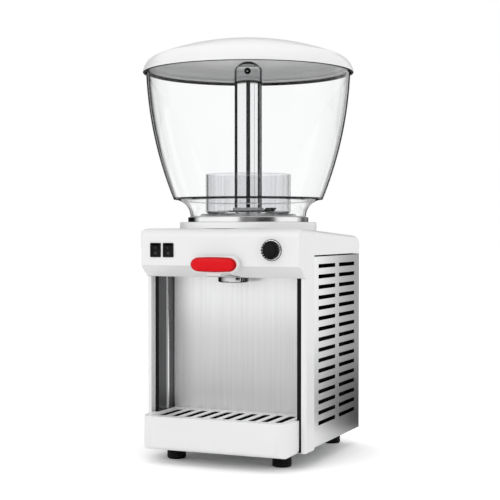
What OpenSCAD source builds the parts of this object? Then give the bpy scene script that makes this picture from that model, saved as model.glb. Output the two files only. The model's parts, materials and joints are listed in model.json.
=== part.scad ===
// Counter-top refrigerated drink dispenser with one clear bowl.
// Millimetres. +Z is up, the front faces -Y, and the origin lies on the floor under the bowl's axis.

/* [Cabinet] */
// Width of the cabinet
body_w = 280; // [268:1:300]
// From the bowl's axis to the back of the cabinet
body_rear = 176; // [170:1:190]
// From the bowl's axis to the front of the head
head_front = 123; // [119:1:128]
// From the bowl's axis to the front of the posts
post_front = 98; // [95:1:102]
// Width of a post, seen from the front
post_w = 8; // [7:0.5:10]
// Depth of a post, seen from the side
post_depth = 39; // [34:1:44]
// Height of the head's underside
head_under = 300.5; // [290:0.5:310]
// Height of the slanted strip under the fascia
chamfer_h = 19; // [15:1:21]
// Height of the head from its underside to the deck at the bowl's axis
head_h = 73.5; // [69.5:0.5:79.5]
// Fall of the deck toward the back, in degrees
deck_slope = 2.6; // [1:0.1:4]
// Wall of the white mouldings
shell_wall = 3; // [2.5:0.1:3.5]
// Rounding of the head's front top edge
front_edge_r = 14; // [10:0.5:18]
// Rounding of the head's back top edge
rear_edge_r = 30; // [20:1:36]
// Rounding of the head's side top edges
side_edge_r = 9; // [6:0.5:12]
// Rounding of the head's upright corners
corner_r = 6; // [5:0.5:9]
// From the deck down to the lower edge of the head's sides
lip_drop = 38; // [32:1:44]
// Sheet thickness of panels, pan, liner and brackets
sheet_t = 1.2; // [0.8:0.1:2]

/* [Feet and base] */
// Height of the base above the floor
foot_h = 25; // [20:1:30]
// Radius of a foot
foot_r = 15.5; // [12:0.5:18]
// From the cabinet's side to the feet's axes
foot_inset = 46.5; // [35:0.5:60]
// From the posts' front to the front feet's axes
foot_front_inset = 16; // [16:1:38]
// From the cabinet's back to the rear feet's axes
foot_rear_inset = 20; // [20:1:36]
// Height of the base pan's upturned edge
pan_edge = 14; // [10:1:20]

/* [Dispensing bay] */
// From the bowl's axis to the bay's back wall
bay_back = 35; // [27:1:36]
// Width of the liner's narrow front edges
liner_fold = 10; // [6:0.5:12]
// How far the liner's front edge stands behind the posts' front
liner_setback = 7; // [4:0.5:10]

/* [Side panels] */
// Rows of air slots
slot_rows = 16; // [8:1:17]
// From the highest row of slots to the panel's top edge
slot_top_margin = 16.75; // [12:0.25:30]
// Height of a slot
slot_h = 6.5; // [4:0.1:8]
// From the last column of slots to the panel's rear edge
slot_rear_margin = 26; // [18:1:40]
// From the panel's front edge to the first column of slots
slot_margin = 23; // [18:1:30]
// Gap between the two columns of slots
slot_gap = 19; // [14:1:26]
// From the panel's lower edge to the lowest row of slots
slot_low_margin = 35.8; // [25:0.2:42]
// Height of the side panels' lower edge above the base
panel_lift = 3.2; // [2.5:0.1:5]
// Width of the panels' bent edges
panel_flange = 13; // [9:1:16]

/* [Drip tray] */
// From the bowl's axis to the front of the tray
tray_front = 148; // [140:1:156]
// From the cabinet's side to the side of the tray's front
tray_inset = 11; // [9:0.5:16]
// Height of the tray's rim
tray_rim = 77; // [66:0.5:90]
// Height of the tray's lower front edge
tray_low = 23; // [20:0.5:24]
// Rounding of the tray's front corners in plan
tray_corner_r = 24; // [18:1:30]
// Rounding of the tray's lower front edge
tray_edge_r = 9; // [6:0.5:11]
// Wall of the tray
tray_wall = 3; // [2.5:0.1:4]
// Depth of the grille's seat below the rim
grille_drop = 3; // [2:0.1:5]
// Thickness of the grille plate
grille_t = 1.5; // [1:0.1:2]
// Number of slots in the grille
grille_slots = 10; // [7:1:11]
// From the grille's sides to the middle of its end slots
grille_end = 14; // [10:0.5:24]
// From the grille's front and back edges to the ends of its slots
grille_margin = 7; // [5:0.5:16]
// Width of a grille slot
grille_slot_w = 12; // [6:0.5:13]

/* [Evaporator and column] */
// Outer radius of the white collar on the deck
collar_r = 114.5; // [110:0.5:118]
// Rise of the collar's top over the deck at the bowl's axis
collar_rise = 15.5; // [12:0.5:20]
// Radius of the polished rim of the evaporator dish
dish_r = 101; // [99:0.5:106]
// Height of the polished rim
dish_rim_h = 8; // [6:0.5:10]
// Rise of the dish's middle above its rim
dish_rise = 6; // [4:0.5:9]
// Radius of the dish's flat middle
dish_flat_r = 78; // [74:1:82]
// Outer radius of the evaporator drum below the dish
drum_r = 88; // [86:0.5:90]
// Depth of the drum below the collar's top
drum_depth = 17.5; // [15.5:0.5:21.5]
// Radius of the column
column_r = 23.1; // [20:0.1:26]
// Length of the column above the dish
column_len = 255.5; // [236.5:1:260.5]
// Height of the column's domed cap
column_dome = 13; // [8:0.5:18]
// From the column's top down to the middle of the nozzle
nozzle_drop = 19; // [17:1:49]
// Direction of the nozzle, in degrees from the front toward the right
nozzle_turn = 20; // [0:1:40]
// Width of the nozzle
nozzle_w = 11; // [8:0.5:14]
// Outer radius of the clear flow guard
guard_r = 71.5; // [66:0.5:74]
// Height of the clear flow guard
guard_h = 66; // [50:1:80]
// Wall of the flow guard
guard_wall = 2.5; // [2:0.1:3]

/* [Stirring drive] */
// Radial wall of the bush round the column's foot
bush_wall = 3; // [2:0.1:4]
// Height of the bush
bush_h = 11; // [9:0.5:14]
// Radial wall of the impeller's hub
hub_wall = 7; // [5:0.5:9]
// Height of the impeller's hub
hub_h = 4; // [3:0.5:5]
// Reach of the tall vane from the axis
vane_reach = 48; // [44:0.5:54]
// Height of the tall vane
vane_h = 10; // [7:0.5:14]
// Width of the vanes
vane_w = 16; // [10:0.5:20]
// Radius of the drive magnet
magnet_r = 38; // [30:0.5:40]
// Thickness of the drive magnet
magnet_h = 14; // [10:0.5:16]
// Radius of the drive shaft
drive_shaft_r = 4; // [3:0.1:5]
// Radius of the drive motor
motor_r = 32; // [26:0.5:34]
// Height of the drive motor
motor_h = 48; // [36:1:54]

/* [Bowl and lid] */
// Outer radius of the bowl's neck
neck_r = 97; // [95:0.5:98]
// Radius of the cove between neck and shoulder
cove_r = 28; // [24:0.5:32]
// Outer radius of the bowl at its rim
bowl_rim_r = 171; // [165:0.5:172]
// Height of the bowl from its neck to its rim
bowl_h = 243.3; // [221:0.5:247]
// Radius of the bowl's curved side
bowl_arc_r = 630; // [520:10:800]
// Wall of the bowl
bowl_wall = 3; // [2.5:0.1:4]
// Overhang of the lid past the bowl's rim
lid_overhang = 5.5; // [4:0.5:11]
// Height of the lid's top over the bowl's rim
lid_h = 51.5; // [47.5:0.5:62.5]
// Radius of the lid's dome
lid_dome_r = 440; // [420:10:500]
// Rounding of the lid's edge
lid_edge_r = 34; // [28:1:42]
// Wall of the lid
lid_wall = 3; // [2.5:0.1:4]
// How far the lid's skirt reaches below the bowl's rim
lid_skirt = 4.5; // [2:0.5:6]
// Outer radius of the deflector under the lid
deflector_r = 20; // [16:0.5:26]

/* [Tap and lever] */
// From the bowl's axis to the tap's axis
tap_front = 62; // [61:0.5:63]
// Outer radius of the tap body
tap_r = 16; // [15:0.5:17]
// Radius of the tap's bore
tap_bore_r = 12; // [10:0.5:12.5]
// Height of the tap body above the head's floor
tap_h = 63; // [60:1:64]
// Radius of the tap's outlet
outlet_r = 8; // [6:0.5:9]
// Radius of the spout
spout_r = 25; // [20:0.5:26]
// How far the spout hangs below the head
spout_drop = 9.3; // [7:0.1:14]
// Outer radius of the tube from the dish to the tap
tube_r = 7; // [6:0.5:8]
// Bore radius of that tube
tube_bore_r = 4.5; // [3.5:0.1:5]
// Distance of the tube from the middle plane
tube_x = 26; // [25:0.5:28]
// Lift of the lever's pivot above the head's underside
pivot_lift = 12.5; // [12:0.5:14]
// Radius of the lever's hub
lever_hub_r = 7; // [6:0.5:8]
// Radius of the lever's pin
pin_r = 3; // [2:0.1:3.5]
// Width of the lever's arm
arm_w = 24; // [20:0.5:26]
// Thickness of the lever's arm
arm_h = 14; // [11:0.5:14]
// Width of the handle's red grip
grip_w = 79; // [60:1:100]
// Height of the handle's red grip
grip_h = 24; // [20:0.5:28]
// Thickness of the red grip
grip_t = 8; // [6:0.5:12]
// Radius of the grip's bowed long edges
grip_bow_r = 400; // [250:10:800]
// Height of the grip's middle over the head's underside
grip_rise = 21.5; // [15.5:0.5:25.5]
// How much wider the white backing is than the grip, on each side
backing_margin = 1.5; // [0.5:0.1:3]
// Thickness of the white backing
backing_t = 12; // [9:0.5:14]
// Room between the backing and the fascia
backing_gap = 4; // [3:0.5:7]
// Thickness of the lever's tongue
tongue_t = 6.5; // [5:0.1:7]
// Width of the lever's tongue
tongue_w = 9; // [7:0.5:10]
// Swing of the lever, in degrees
lever_swing = 18; // [12:1:20]
// Wire radius of the valve spring
spring_wire_r = 0.8; // [0.6:0.05:1]
// Turns of the valve spring
spring_turns = 6; // [4:1:7]

/* [Controls] */
// From the deck down to the middle of the switches
switch_drop = 30; // [28:0.5:34]
// From the cabinet's side to the inner switch
switch_inset = 52; // [48:0.5:60]
// Distance between the two switches
switch_pitch = 23; // [21:0.5:25]
// Width of a switch's frame
switch_w = 19; // [18:0.5:20]
// Height of a switch's frame
switch_h = 23; // [22.5:0.5:25]
// How far a switch's frame stands out
switch_frame_t = 1.5; // [1:0.1:2]
// Depth of a switch behind the fascia
switch_depth = 22; // [18:0.5:26]
// Tilt of a rocker to either side, in degrees
rocker_tilt = 8; // [5:0.5:9]
// From the cabinet's side to the knob's axis
knob_inset = 48; // [40:0.5:56]
// From the deck down to the knob's axis
knob_drop = 29; // [27:0.5:34]
// Radius of the knob at its foot
knob_r = 12.5; // [11:0.5:15]
// Radius of the knob's front face
knob_face_r = 10; // [8.5:0.5:11]
// Length of the knob
knob_len = 9; // [8:0.5:16]
// Grip flutes round the knob
knob_flutes = 18; // [12:1:24]
// Radius of the ring behind the knob
knob_ring_r = 17; // [17:0.5:20]
// Radius of the thermostat's shaft
thermo_shaft_r = 3; // [2.5:0.1:3.5]
// Side of the square thermostat case
thermo_w = 34; // [28:0.5:36]
// Depth of the thermostat case
thermo_depth = 18; // [14:0.5:24]

/* [Refrigeration] */
// Radius of the compressor
comp_r = 50; // [44:0.5:52]
// Height of the compressor pot
comp_h = 122; // [100:1:140]
// From the cabinet's side to the compressor's axis
comp_inset = 80; // [76:1:82]
// From the cabinet's back to the compressor's axis
comp_back = 84; // [76:1:91]
// Height of the compressor's rubber mounts
mount_h = 13; // [10:0.5:16]
// Radius of the compressor's rubber mounts
mount_r = 9; // [7:0.5:10]
// From the cabinet's back to the fan's axis
fan_back = 96; // [90:1:98]
// Height of the fan's axis above the base
fan_rise = 104; // [92:1:115]
// Radius of the fan
fan_r = 56; // [46:0.5:58]
// Number of fan blades
fan_blades = 5; // [3:1:7]
// Pitch of the fan blades, in degrees
fan_pitch = 32; // [24:1:38]
// Radius of the fan motor
fan_motor_r = 22; // [18:0.5:24]
// Length of the fan motor
fan_motor_len = 26; // [20:0.5:28]
// From the cabinet's side to the condenser's outer face
cond_inset = 18; // [14:0.5:22]
// Thickness of the condenser
cond_t = 24; // [18:0.5:26]
// Length of the condenser
cond_len = 126; // [124:1:132]
// Height of the condenser
cond_h = 156; // [140:1:170]
// Number of condenser fins
cond_fins = 16; // [8:1:22]
// Radius of the refrigerant pipes
pipe_r = 4; // [3:0.1:4.5]
// Radius of the capillary pipe
capillary_r = 1.5; // [1:0.1:2]
// Radius of the filter drier
drier_r = 9; // [7:0.5:11]
// Radius of the cord gland's opening
gland_bore_r = 5; // [4:0.1:7]

/* [Hidden] */
$fn = 64;
// Facets of a full circle where the radius is largest
fine_fn = 720;

// Clearances
run_fit = 0.05;
seat_gap = 0.2;
loose_gap = 0.4;
slide_gap = 1.5;
// A length that reaches past anything cut with it
past = 400;

// Small fixed sizes
screw_r = 2;
screw_head_t = 1.2;
foot_screw_r = 3;
foot_recess = 8;
mount_bolt_r = 3;
gasket_t = 1.5;
gland_inset = 45;
gland_rise = 41.8;
suction_inset = 14;
pipe_clear = 20;

// Cabinet lines
body_half_w = body_w / 2;
deck_h = head_under + head_h;
side_lip = deck_h - lip_drop;
fascia_low = head_under + chamfer_h;
chamfer_run = head_front - post_front;
chamfer_len = norm([chamfer_run, chamfer_h]);
chamfer_foot = shell_wall * chamfer_len / chamfer_h;
post_back = post_front - post_depth;
post_inner = body_half_w - post_w;
bay_half_w = post_inner - liner_fold;
post_corner_r = post_w / 2;
panel_outer = body_half_w - shell_wall / 2;
panel_low = foot_h + panel_lift;
panel_top = side_lip - 1;
panel_back = body_rear - screw_head_t - sheet_t - 2 * seat_gap;
rear_outer = panel_back + seat_gap + sheet_t;
rear_half_w = panel_outer - seat_gap;
screw_x = panel_outer - panel_flange / 2 - sheet_t;
gland_r = gland_bore_r + 4;
gland_x = gland_inset - body_half_w;
gland_z = panel_low + gland_rise;
slot_low = panel_low + slot_low_margin;
slot_pitch = (panel_top - slot_top_margin - slot_low) / (slot_rows - 1);
slot_len = (panel_back + post_back - seat_gap - slot_margin - slot_gap - slot_rear_margin) / 2;
foot_x = body_half_w - foot_inset;
foot_front = post_front - foot_front_inset;
foot_rear = body_rear - foot_rear_inset;
pan_half_w = post_inner - loose_gap;
pan_floor = foot_h + sheet_t;
pan_front = post_front - loose_gap;
pan_back = panel_back - sheet_t - seat_gap;
liner_front = post_front - liner_setback;
floor_front = post_front - chamfer_foot - seat_gap;
floor_top = head_under + sheet_t;

// Evaporator, bowl and lid lines
collar_top = deck_h + collar_rise;
drum_low = collar_top - drum_depth;
dish_top = collar_top + dish_rim_h;
dish_floor = dish_top + dish_rise;
column_top = dish_floor + column_len;
nozzle_z = column_top - nozzle_drop;
deck_hole_r = drum_r + 4 * pipe_r;
collar_bore_r = drum_r + 2 * pipe_r + 1;
neck_low = dish_top + gasket_t + seat_gap;
bowl_rim = neck_low + bowl_h;
shoulder_r = neck_r + cove_r;
shoulder_z = neck_low + cove_r;
lid_r = bowl_rim_r + lid_overhang;
lid_top = bowl_rim + lid_h;
lid_seat = bowl_rim + seat_gap + 0.1;
lid_low = bowl_rim - lid_skirt;
lid_edge_at = lid_r - lid_edge_r;
lid_dome_z = lid_top - lid_dome_r;
lid_edge_z = lid_dome_z + sqrt(pow(lid_dome_r - lid_edge_r, 2) - pow(lid_edge_at, 2));
bush_r = column_r + bush_wall;
hub_bore_r = bush_r + run_fit;
hub_low = dish_floor + 1;

// Coil lines
coil_tube_r = 0.6 * pipe_r;
coil_r = drum_r + coil_tube_r + 0.6;
coil_low = drum_low + 1;
coil_high = collar_top - 0.5;
coil_turns = 2;
coil_start = 60;

// Drive lines
bracket_low = drum_low - sheet_t - seat_gap;
motor_top = bracket_low - seat_gap;
magnet_low = dish_floor - sheet_t - 2 - magnet_h;

// Tap and lever lines
tap_top = floor_top + tap_h;
tube_y = -tap_front + 4;
seat_z = floor_top + 1.5;
spout_low = head_under - spout_drop;
neck_end = spout_low + 2;
port_z = floor_top + tube_r + seat_gap;
pivot_y = -(tap_front + tap_r + lever_hub_r + 1);
pivot_z = head_under + pivot_lift;
reach = -tap_front - pivot_y;
tongue_z = port_z + tube_bore_r + 14;
tongue_tip = -tap_front + tap_bore_r - 3;
slot_half = tongue_t / 2 + tap_bore_r * sin(lever_swing) + 0.6;
piston_r = tap_bore_r - run_fit;
piston_top = tongue_z + slot_half + 8;
grip_z = head_under + grip_rise;
arm_low = pivot_z - 9;
backing_back = -(head_front + backing_gap);
grip_back = backing_back - backing_t;
grip_front = grip_back - grip_t;
notch_w = arm_w + 3;
ear_t = 2;
ear_x = arm_w / 2 + 2 + loose_gap;
cap_spigot = 3;
spring_low = piston_top + seat_gap;
spring_high = tap_top - cap_spigot - seat_gap;
spring_r = tap_bore_r - spring_wire_r - 1.2;

// Control lines
switch_z = deck_h - switch_drop;
switch_x = body_half_w - switch_inset;
knob_z = deck_h - knob_drop;
knob_x = body_half_w - knob_inset;
fascia_back = -(head_front - shell_wall);
rocker_half_h = switch_h / 2 - 2.9;
rocker_w = switch_w - 6.4;
rocker_face = 5.5;
rocker_axle_r = 1.5;
rocker_y = -head_front - switch_frame_t + rocker_face + 1;
cutout_w = switch_w - 3.5;
cutout_h = switch_h - 2;
knob_back = -head_front - 2 - 0.5;
thermo_bush_r = thermo_shaft_r + 2;

// Tray lines
tray_half_w = body_half_w - tray_inset;
tray_step = -post_front - loose_gap;
tray_back = -bay_back - slide_gap;
tray_inner_half_w = bay_half_w - slide_gap;
grille_seat = tray_rim - grille_drop;
grille_half_w = tray_inner_half_w - tray_wall - 2;
grille_front = -tray_front + tray_wall + 15;
grille_back = tray_back - tray_wall - 1;
grille_pitch = 2 * (grille_half_w - grille_end) / (grille_slots - 1);
grille_slot_len = grille_back - grille_front - 2 * grille_margin;

// Refrigeration lines
comp_x = body_half_w - comp_inset;
comp_y = body_rear - comp_back;
fan_y = body_rear - fan_back;
cond_x = body_half_w - cond_inset;
mount_spread = [42, 40];
comp_plate_z = pan_floor + mount_h;
comp_low = comp_plate_z + 3;
fan_z = foot_h + fan_rise;
cond_low = fan_z - cond_h / 2;
shroud_x = cond_x - cond_t - seat_gap - sheet_t;
fan_hub_r = 15;
fan_depth = 14;
fan_x = shroud_x - fan_depth - 2;
fan_shaft_r = 3;
fan_motor_front = fan_x - 5;
cond_front = fan_y - cond_len / 2;
cond_rows = 6;
cond_mid = cond_x - cond_t / 2;
tube_end = 4;
cond_row_pitch = cond_h / cond_rows;
drier_x = 28;
drier_y = 4;
drier_rise = 93.8;
drier_low = pan_floor + drier_rise;
drier_len = 74;

// Plan helpers

function deck_at(y) = deck_h - y * tan(deck_slope);

function arc_centre(a, b, r) =
  let (d = b - a, len = norm(d))
  (a + b) / 2 + sqrt(r * r - len * len / 4) * [-d[1], d[0]] / len;

module rounded_rect(w, d, r) {
  square([w - 2 * r, d], center = true);
  square([w, d - 2 * r], center = true);
  for (x = [-1, 1], y = [-1, 1])
    translate([x * (w / 2 - r), y * (d / 2 - r)]) circle(r);
}

module pill(w, h) {
  square([w - h, h], center = true);
  for (x = [-1, 1]) translate([x * (w - h) / 2, 0]) circle(h / 2);
}

// A box from its low corner to its high corner
module span(low, high) {
  translate(low) cube(high - low);
}

// Extrudes a (Y, Z) outline along X, centred on the middle plane
module across(w) {
  rotate([90, 0, 90]) translate([0, 0, -w / 2]) linear_extrude(w) children();
}

// Extrudes an (X, Z) outline along Y from one place to another
module along(y0, y1) {
  translate([0, y1, 0]) rotate([90, 0, 0]) linear_extrude(y1 - y0) children();
}

module rod(a, b, r) {
  d = b - a;
  translate(a)
    rotate([0, acos(d[2] / norm(d)), atan2(d[1], d[0])])
      cylinder(h = norm(d), r = r);
}

// A pipe along a list of points, with a slightly thicker brazed joint at each bend
module bent_pipe(points, r) {
  for (i = [0 : len(points) - 2]) rod(points[i], points[i + 1], r);
  for (i = [1 : len(points) - 2]) translate(points[i]) sphere(r * 1.1);
}

// A helical tube: one unbroken sweep of six-sided rings
module helix(r, wire_r, low, high, turns, steps) {
  sides = 6;
  count = turns * steps;
  rise = high - low - 2 * wire_r;
  points = [
    for (i = [0 : count], k = [0 : sides - 1])
      let (a = 360 * i / steps, b = 360 * k / sides, out = r + wire_r * cos(b))
      [out * cos(a), out * sin(a), low + wire_r + rise * i / count + wire_r * sin(b)]
  ];
  walls = [
    for (i = [0 : count - 1], k = [0 : sides - 1])
      let (a = i * sides + k, b = i * sides + (k + 1) % sides)
      each [[a, b, a + sides], [b, b + sides, a + sides]]
  ];
  ends = [
    for (k = [1 : sides - 2]) each [[0, k + 1, k], [count * sides, count * sides + k, count * sides + k + 1]]
  ];
  polyhedron(points, concat(walls, ends));
}

// Cabinet

// The head's outline from the side, set in by i
module head_side(i) {
  slope = [sin(deck_slope), cos(deck_slope)];
  front_c = [-head_front + front_edge_r, deck_at(-head_front + front_edge_r) - front_edge_r / slope[1]];
  rear_c = [body_rear - rear_edge_r, deck_at(body_rear - rear_edge_r) - rear_edge_r / slope[1]];
  low = head_under - (i > 0 ? past : 0);
  into = [chamfer_h, chamfer_run] / chamfer_len;
  down = [chamfer_run, -chamfer_h] / chamfer_len;
  strip = [-post_front, head_under] + i * into;
  difference() {
    union() {
      polygon([
        [front_c[0], low], front_c, front_c + (front_edge_r - i) * slope,
        rear_c + (rear_edge_r - i) * slope, rear_c, [rear_c[0], low]
      ]);
      translate([-head_front + i, low]) square([front_edge_r - i, front_c[1] - low]);
      translate([rear_c[0], low]) square([rear_edge_r - i, rear_c[1] - low]);
      translate(front_c) circle(front_edge_r - i);
      translate(rear_c) circle(rear_edge_r - i);
    }
    polygon([strip - past * down, strip + past * down, strip + past * down - past * into, strip - past * down - past * into]);
  }
}

// The head's outline from the front, measured from the deck
module head_arch() {
  r = side_edge_r;
  w = body_half_w;
  translate([-w, -past]) square([2 * w, past - r]);
  translate([-w + r, -past]) square([2 * (w - r), past]);
  for (x = [-1, 1]) translate([x * (w - r), -r]) circle(r);
}

// The same outline inside the wall, with bevelled corners
module head_arch_inside() {
  w = body_half_w - shell_wall;
  bevel = 0.6 * (side_edge_r - shell_wall);
  polygon([
    [-w, -past], [w, -past], [w, -shell_wall - bevel], [w - bevel, -shell_wall],
    [bevel - w, -shell_wall], [-w, -shell_wall - bevel]
  ]);
}

module head_form(i) {
  intersection() {
    across(2 * body_w) head_side(i);
    translate([0, 0, deck_h]) rotate([-deck_slope, 0, 0]) along(-past, past) {
      if (i > 0) head_arch_inside();
      else head_arch();
    }
    translate([0, (body_rear - head_front) / 2, 0])
      linear_extrude(2 * past) rounded_rect(body_w - 2 * i, body_rear + head_front - 2 * i, corner_r - i);
  }
}

module post_plan() {
  r = post_corner_r;
  translate([post_inner, -post_front]) square([post_w - r, post_depth]);
  translate([post_inner, -post_front + r]) square([post_w, post_depth - r]);
  translate([body_half_w - r, -post_front + r]) circle(r);
}

// White head and posts, moulded in one piece and open below
module body_shell() {
  color("whitesmoke") difference() {
    union() {
      difference() {
        head_form(0);
        head_form(shell_wall);
        span([-body_w, -post_back, 0], [body_w, past, side_lip]);
      }
      for (x = [0, 1]) mirror([x, 0, 0]) difference() {
        translate([0, 0, foot_h]) linear_extrude(head_under - foot_h) post_plan();
        span([post_inner + 2, -post_front + shell_wall, foot_h - 1],
             [body_half_w - 2, -post_back + 1, head_under - shell_wall]);
      }
    }
    cylinder(h = 2 * past, r = deck_hole_r);
    for (x = [switch_x, switch_x + switch_pitch]) translate([-x, 0, switch_z])
      along(-past, fascia_back + 1) square([cutout_w, cutout_h], center = true);
    translate([knob_x, fascia_back + 1, knob_z]) rotate([90, 0, 0]) cylinder(h = past, r = thermo_bush_r + loose_gap);
    span([-notch_w / 2, -past, 0], [notch_w / 2, -floor_front + 1, arm_low + arm_h + 3]);
  }
}

// Plate that closes the head above the bay
module head_floor() {
  color("gainsboro") difference() {
    span([-pan_half_w, -floor_front, head_under], [pan_half_w, -bay_back + sheet_t, floor_top]);
    translate([0, -tap_front, 0]) cylinder(h = past, r = tap_bore_r + seat_gap);
    span([-notch_w / 2, -past, 0], [notch_w / 2, pivot_y - 2, past]);
  }
}

// Polished lining of the bay: back wall, side walls and narrow front edges in one folded sheet
module bay_liner() {
  color("silver") difference() {
    span([-post_inner + seat_gap, -liner_front, pan_floor], [post_inner - seat_gap, -bay_back + sheet_t, head_under]);
    span([-bay_half_w, -past, 0], [bay_half_w, -bay_back, past]);
    for (x = [0, 1]) mirror([x, 0, 0])
      span([bay_half_w + sheet_t, -liner_front + sheet_t, 0], [body_w, past, past]);
  }
}

// Right panel: slotted sheet with a bent edge at the back and at the foot
module side_panel() {
  front = -post_back + seat_gap;
  difference() {
    union() {
      span([panel_outer - sheet_t, front, panel_low], [panel_outer, panel_back, panel_top]);
      span([panel_outer - panel_flange, panel_back - sheet_t, panel_low], [panel_outer, panel_back, panel_top]);
      span([pan_half_w + seat_gap, front, panel_low], [panel_outer, panel_back, panel_low + sheet_t]);
    }
    for (z = rear_screw_rows()) translate([screw_x, body_rear, z])
      rotate([90, 0, 0]) cylinder(h = 3 * panel_flange, r = screw_r + seat_gap);
    for (row = [0 : slot_rows - 1], column = [0, 1])
      translate([
        panel_outer - past / 2,
        front + slot_margin + slot_len / 2 + column * (slot_len + slot_gap),
        slot_low + row * slot_pitch
      ])
        rotate([90, 0, 90]) linear_extrude(past) rounded_rect(slot_len, slot_h, 1);
  }
}

module side_panel_right() {
  color("silver") side_panel();
}

module side_panel_left() {
  color("silver") mirror([1, 0, 0]) side_panel();
}

// Back panel with a block of air slots behind the compressor
module rear_panel() {
  rows = 12;
  wide = 84;
  color("silver") difference() {
    along(rear_outer - sheet_t, rear_outer) difference() {
      translate([-rear_half_w, panel_low]) square([2 * rear_half_w, panel_top - panel_low]);
      for (row = [0 : rows - 1])
        translate([-comp_x, slot_low + (row + 3) * slot_pitch]) rounded_rect(wide, slot_h, 1);
    }
    for (x = [-1, 1], z = rear_screw_rows()) translate([x * screw_x, body_rear, z])
      rotate([90, 0, 0]) cylinder(h = past, r = screw_r + seat_gap);
    translate([gland_x, body_rear, gland_z]) rotate([90, 0, 0]) cylinder(h = past, r = gland_r + seat_gap);
  }
}

function rear_screw_rows() = [panel_low + 20, (panel_low + panel_top) / 2, panel_top - 20];

// Six screws through the back panel into the bent edges of the side panels
module rear_screws() {
  color("dimgray") for (x = [-1, 1], z = rear_screw_rows())
    translate([x * screw_x, rear_outer, z]) {
      rotate([-90, 0, 0]) cylinder(h = screw_head_t, r = 2 * screw_r);
      rotate([90, 0, 0]) cylinder(h = 2 * sheet_t + 4, r = screw_r);
    }
}

// Grommet for the supply cord, with its flange outside the panel
module cord_gland() {
  color("black") translate([gland_x, rear_outer, gland_z]) rotate([90, 0, 0]) difference() {
    union() {
      translate([0, 0, -screw_head_t]) cylinder(h = screw_head_t + sheet_t + 8, r = gland_r);
      translate([0, 0, -screw_head_t]) cylinder(h = screw_head_t, r = gland_r + 3);
    }
    translate([0, 0, -past]) cylinder(h = 2 * past, r = gland_bore_r);
  }
}

// Folded steel floor of the cabinet
module base_pan() {
  color("lightgray") difference() {
    span([-pan_half_w, -pan_front, foot_h], [pan_half_w, pan_back, foot_h + pan_edge]);
    span([-pan_half_w + sheet_t, -past, pan_floor], [pan_half_w - sheet_t, pan_back - sheet_t, past]);
    span([-past, -past, pan_floor], [past, -bay_back + sheet_t + loose_gap, past]);
    for (p = foot_places()) translate(p) cylinder(h = past, r = foot_screw_r + seat_gap);
    for (p = mount_places()) translate(p) cylinder(h = past, r = mount_bolt_r + seat_gap);
  }
}

function foot_places() = [for (y = [-foot_front, foot_rear], x = [-1, 1]) [x * foot_x, y, 0]];

// Rubber foot with a groove and rounded lower edge
module foot(place) {
  edge = 3;
  color("black") translate(place) rotate_extrude() difference() {
    union() {
      translate([0, edge]) square([foot_r, foot_h - edge]);
      square([foot_r - edge, foot_h]);
      translate([foot_r - edge, edge]) circle(edge);
    }
    translate([-past, -past]) square([past, 3 * past]);
    translate([foot_r, foot_h * 0.45]) circle(1.2);
    square([foot_screw_r + seat_gap, foot_h]);
    square([2 * foot_screw_r, foot_recess]);
  }
}

module foot_front_left() {
  foot(foot_places()[0]);
}

module foot_front_right() {
  foot(foot_places()[1]);
}

module foot_rear_left() {
  foot(foot_places()[2]);
}

module foot_rear_right() {
  foot(foot_places()[3]);
}

// Four screws from the feet's recesses up into the pan
module foot_screws() {
  color("dimgray") for (p = foot_places()) translate(p) {
    translate([0, 0, foot_recess - 3]) cylinder(h = 3 - seat_gap, r = 2 * foot_screw_r - loose_gap);
    translate([0, 0, foot_recess - 1]) cylinder(h = pan_floor + 1 - foot_recess, r = foot_screw_r);
  }
}

// Evaporator and column

// White ring that seats the dish on the sloping deck
module top_collar() {
  edge = 2;
  collar_base = deck_h - collar_r;
  color("whitesmoke") difference() {
    rotate_extrude() difference() {
      union() {
        translate([0, collar_base]) square([collar_r - edge, collar_top - collar_base]);
        translate([0, collar_base]) square([collar_r, collar_top - collar_base - edge]);
        translate([collar_r - edge, collar_top - edge]) circle(edge);
      }
      translate([-past, 0]) square([past + collar_bore_r, 2 * past]);
    }
    translate([0, 0, deck_h]) rotate([-deck_slope, 0, 0]) translate([-past, -past, -past]) cube([2 * past, 2 * past, past]);
  }
}

// Stainless dish with a polished rim, a raised middle and a drum below
module evaporator_dish() {
  t = sheet_t;
  color("gainsboro") difference() {
    rotate_extrude() polygon([
      [0, dish_floor], [dish_flat_r, dish_floor], [drum_r - 2, dish_top], [dish_r, dish_top],
      [dish_r, collar_top], [dish_r - t, collar_top], [dish_r - t, dish_top - t], [drum_r, dish_top - t],
      [drum_r, drum_low], [drum_r - t, drum_low], [drum_r - t, dish_top - t - 1],
      [dish_flat_r - t / 2, dish_floor - t], [0, dish_floor - t]
    ]);
    translate([tube_x, tube_y, 0]) cylinder(h = 2 * past, r = tube_bore_r);
  }
}

module bowl_gasket() {
  color("white") translate([0, 0, dish_top]) difference() {
    cylinder(h = gasket_t, r = neck_r + 1);
    translate([0, 0, -1]) cylinder(h = gasket_t + 2, r = neck_r - bowl_wall - 2);
  }
}

// Where a pipe meets the coil from below, a number of turns after its start
function coil_foot(turn) =
  let (a = coil_start + 360 * turn, rise = coil_high - coil_low - 2 * coil_tube_r)
  [coil_r * cos(a), coil_r * sin(a), coil_low + coil_tube_r * (1 - sin(60)) + rise * turn / coil_turns - seat_gap];

// Copper tube wound round the drum
module evaporator_coil() {
  color("peru") rotate([0, 0, coil_start]) helix(coil_r, coil_tube_r, coil_low, coil_high, coil_turns, 40);
}

// Foam that fills the drum round the drive magnet
module insulation() {
  foam_low = drum_low + seat_gap;
  foam_top = dish_top - sheet_t - 2;
  color("khaki") difference() {
    translate([0, 0, foam_low]) cylinder(h = foam_top - foam_low, r = drum_r - sheet_t - seat_gap);
    cylinder(h = 2 * past, r = magnet_r + 5);
    translate([tube_x, tube_y, 0]) cylinder(h = 2 * past, r = tube_r + seat_gap);
  }
}

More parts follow.
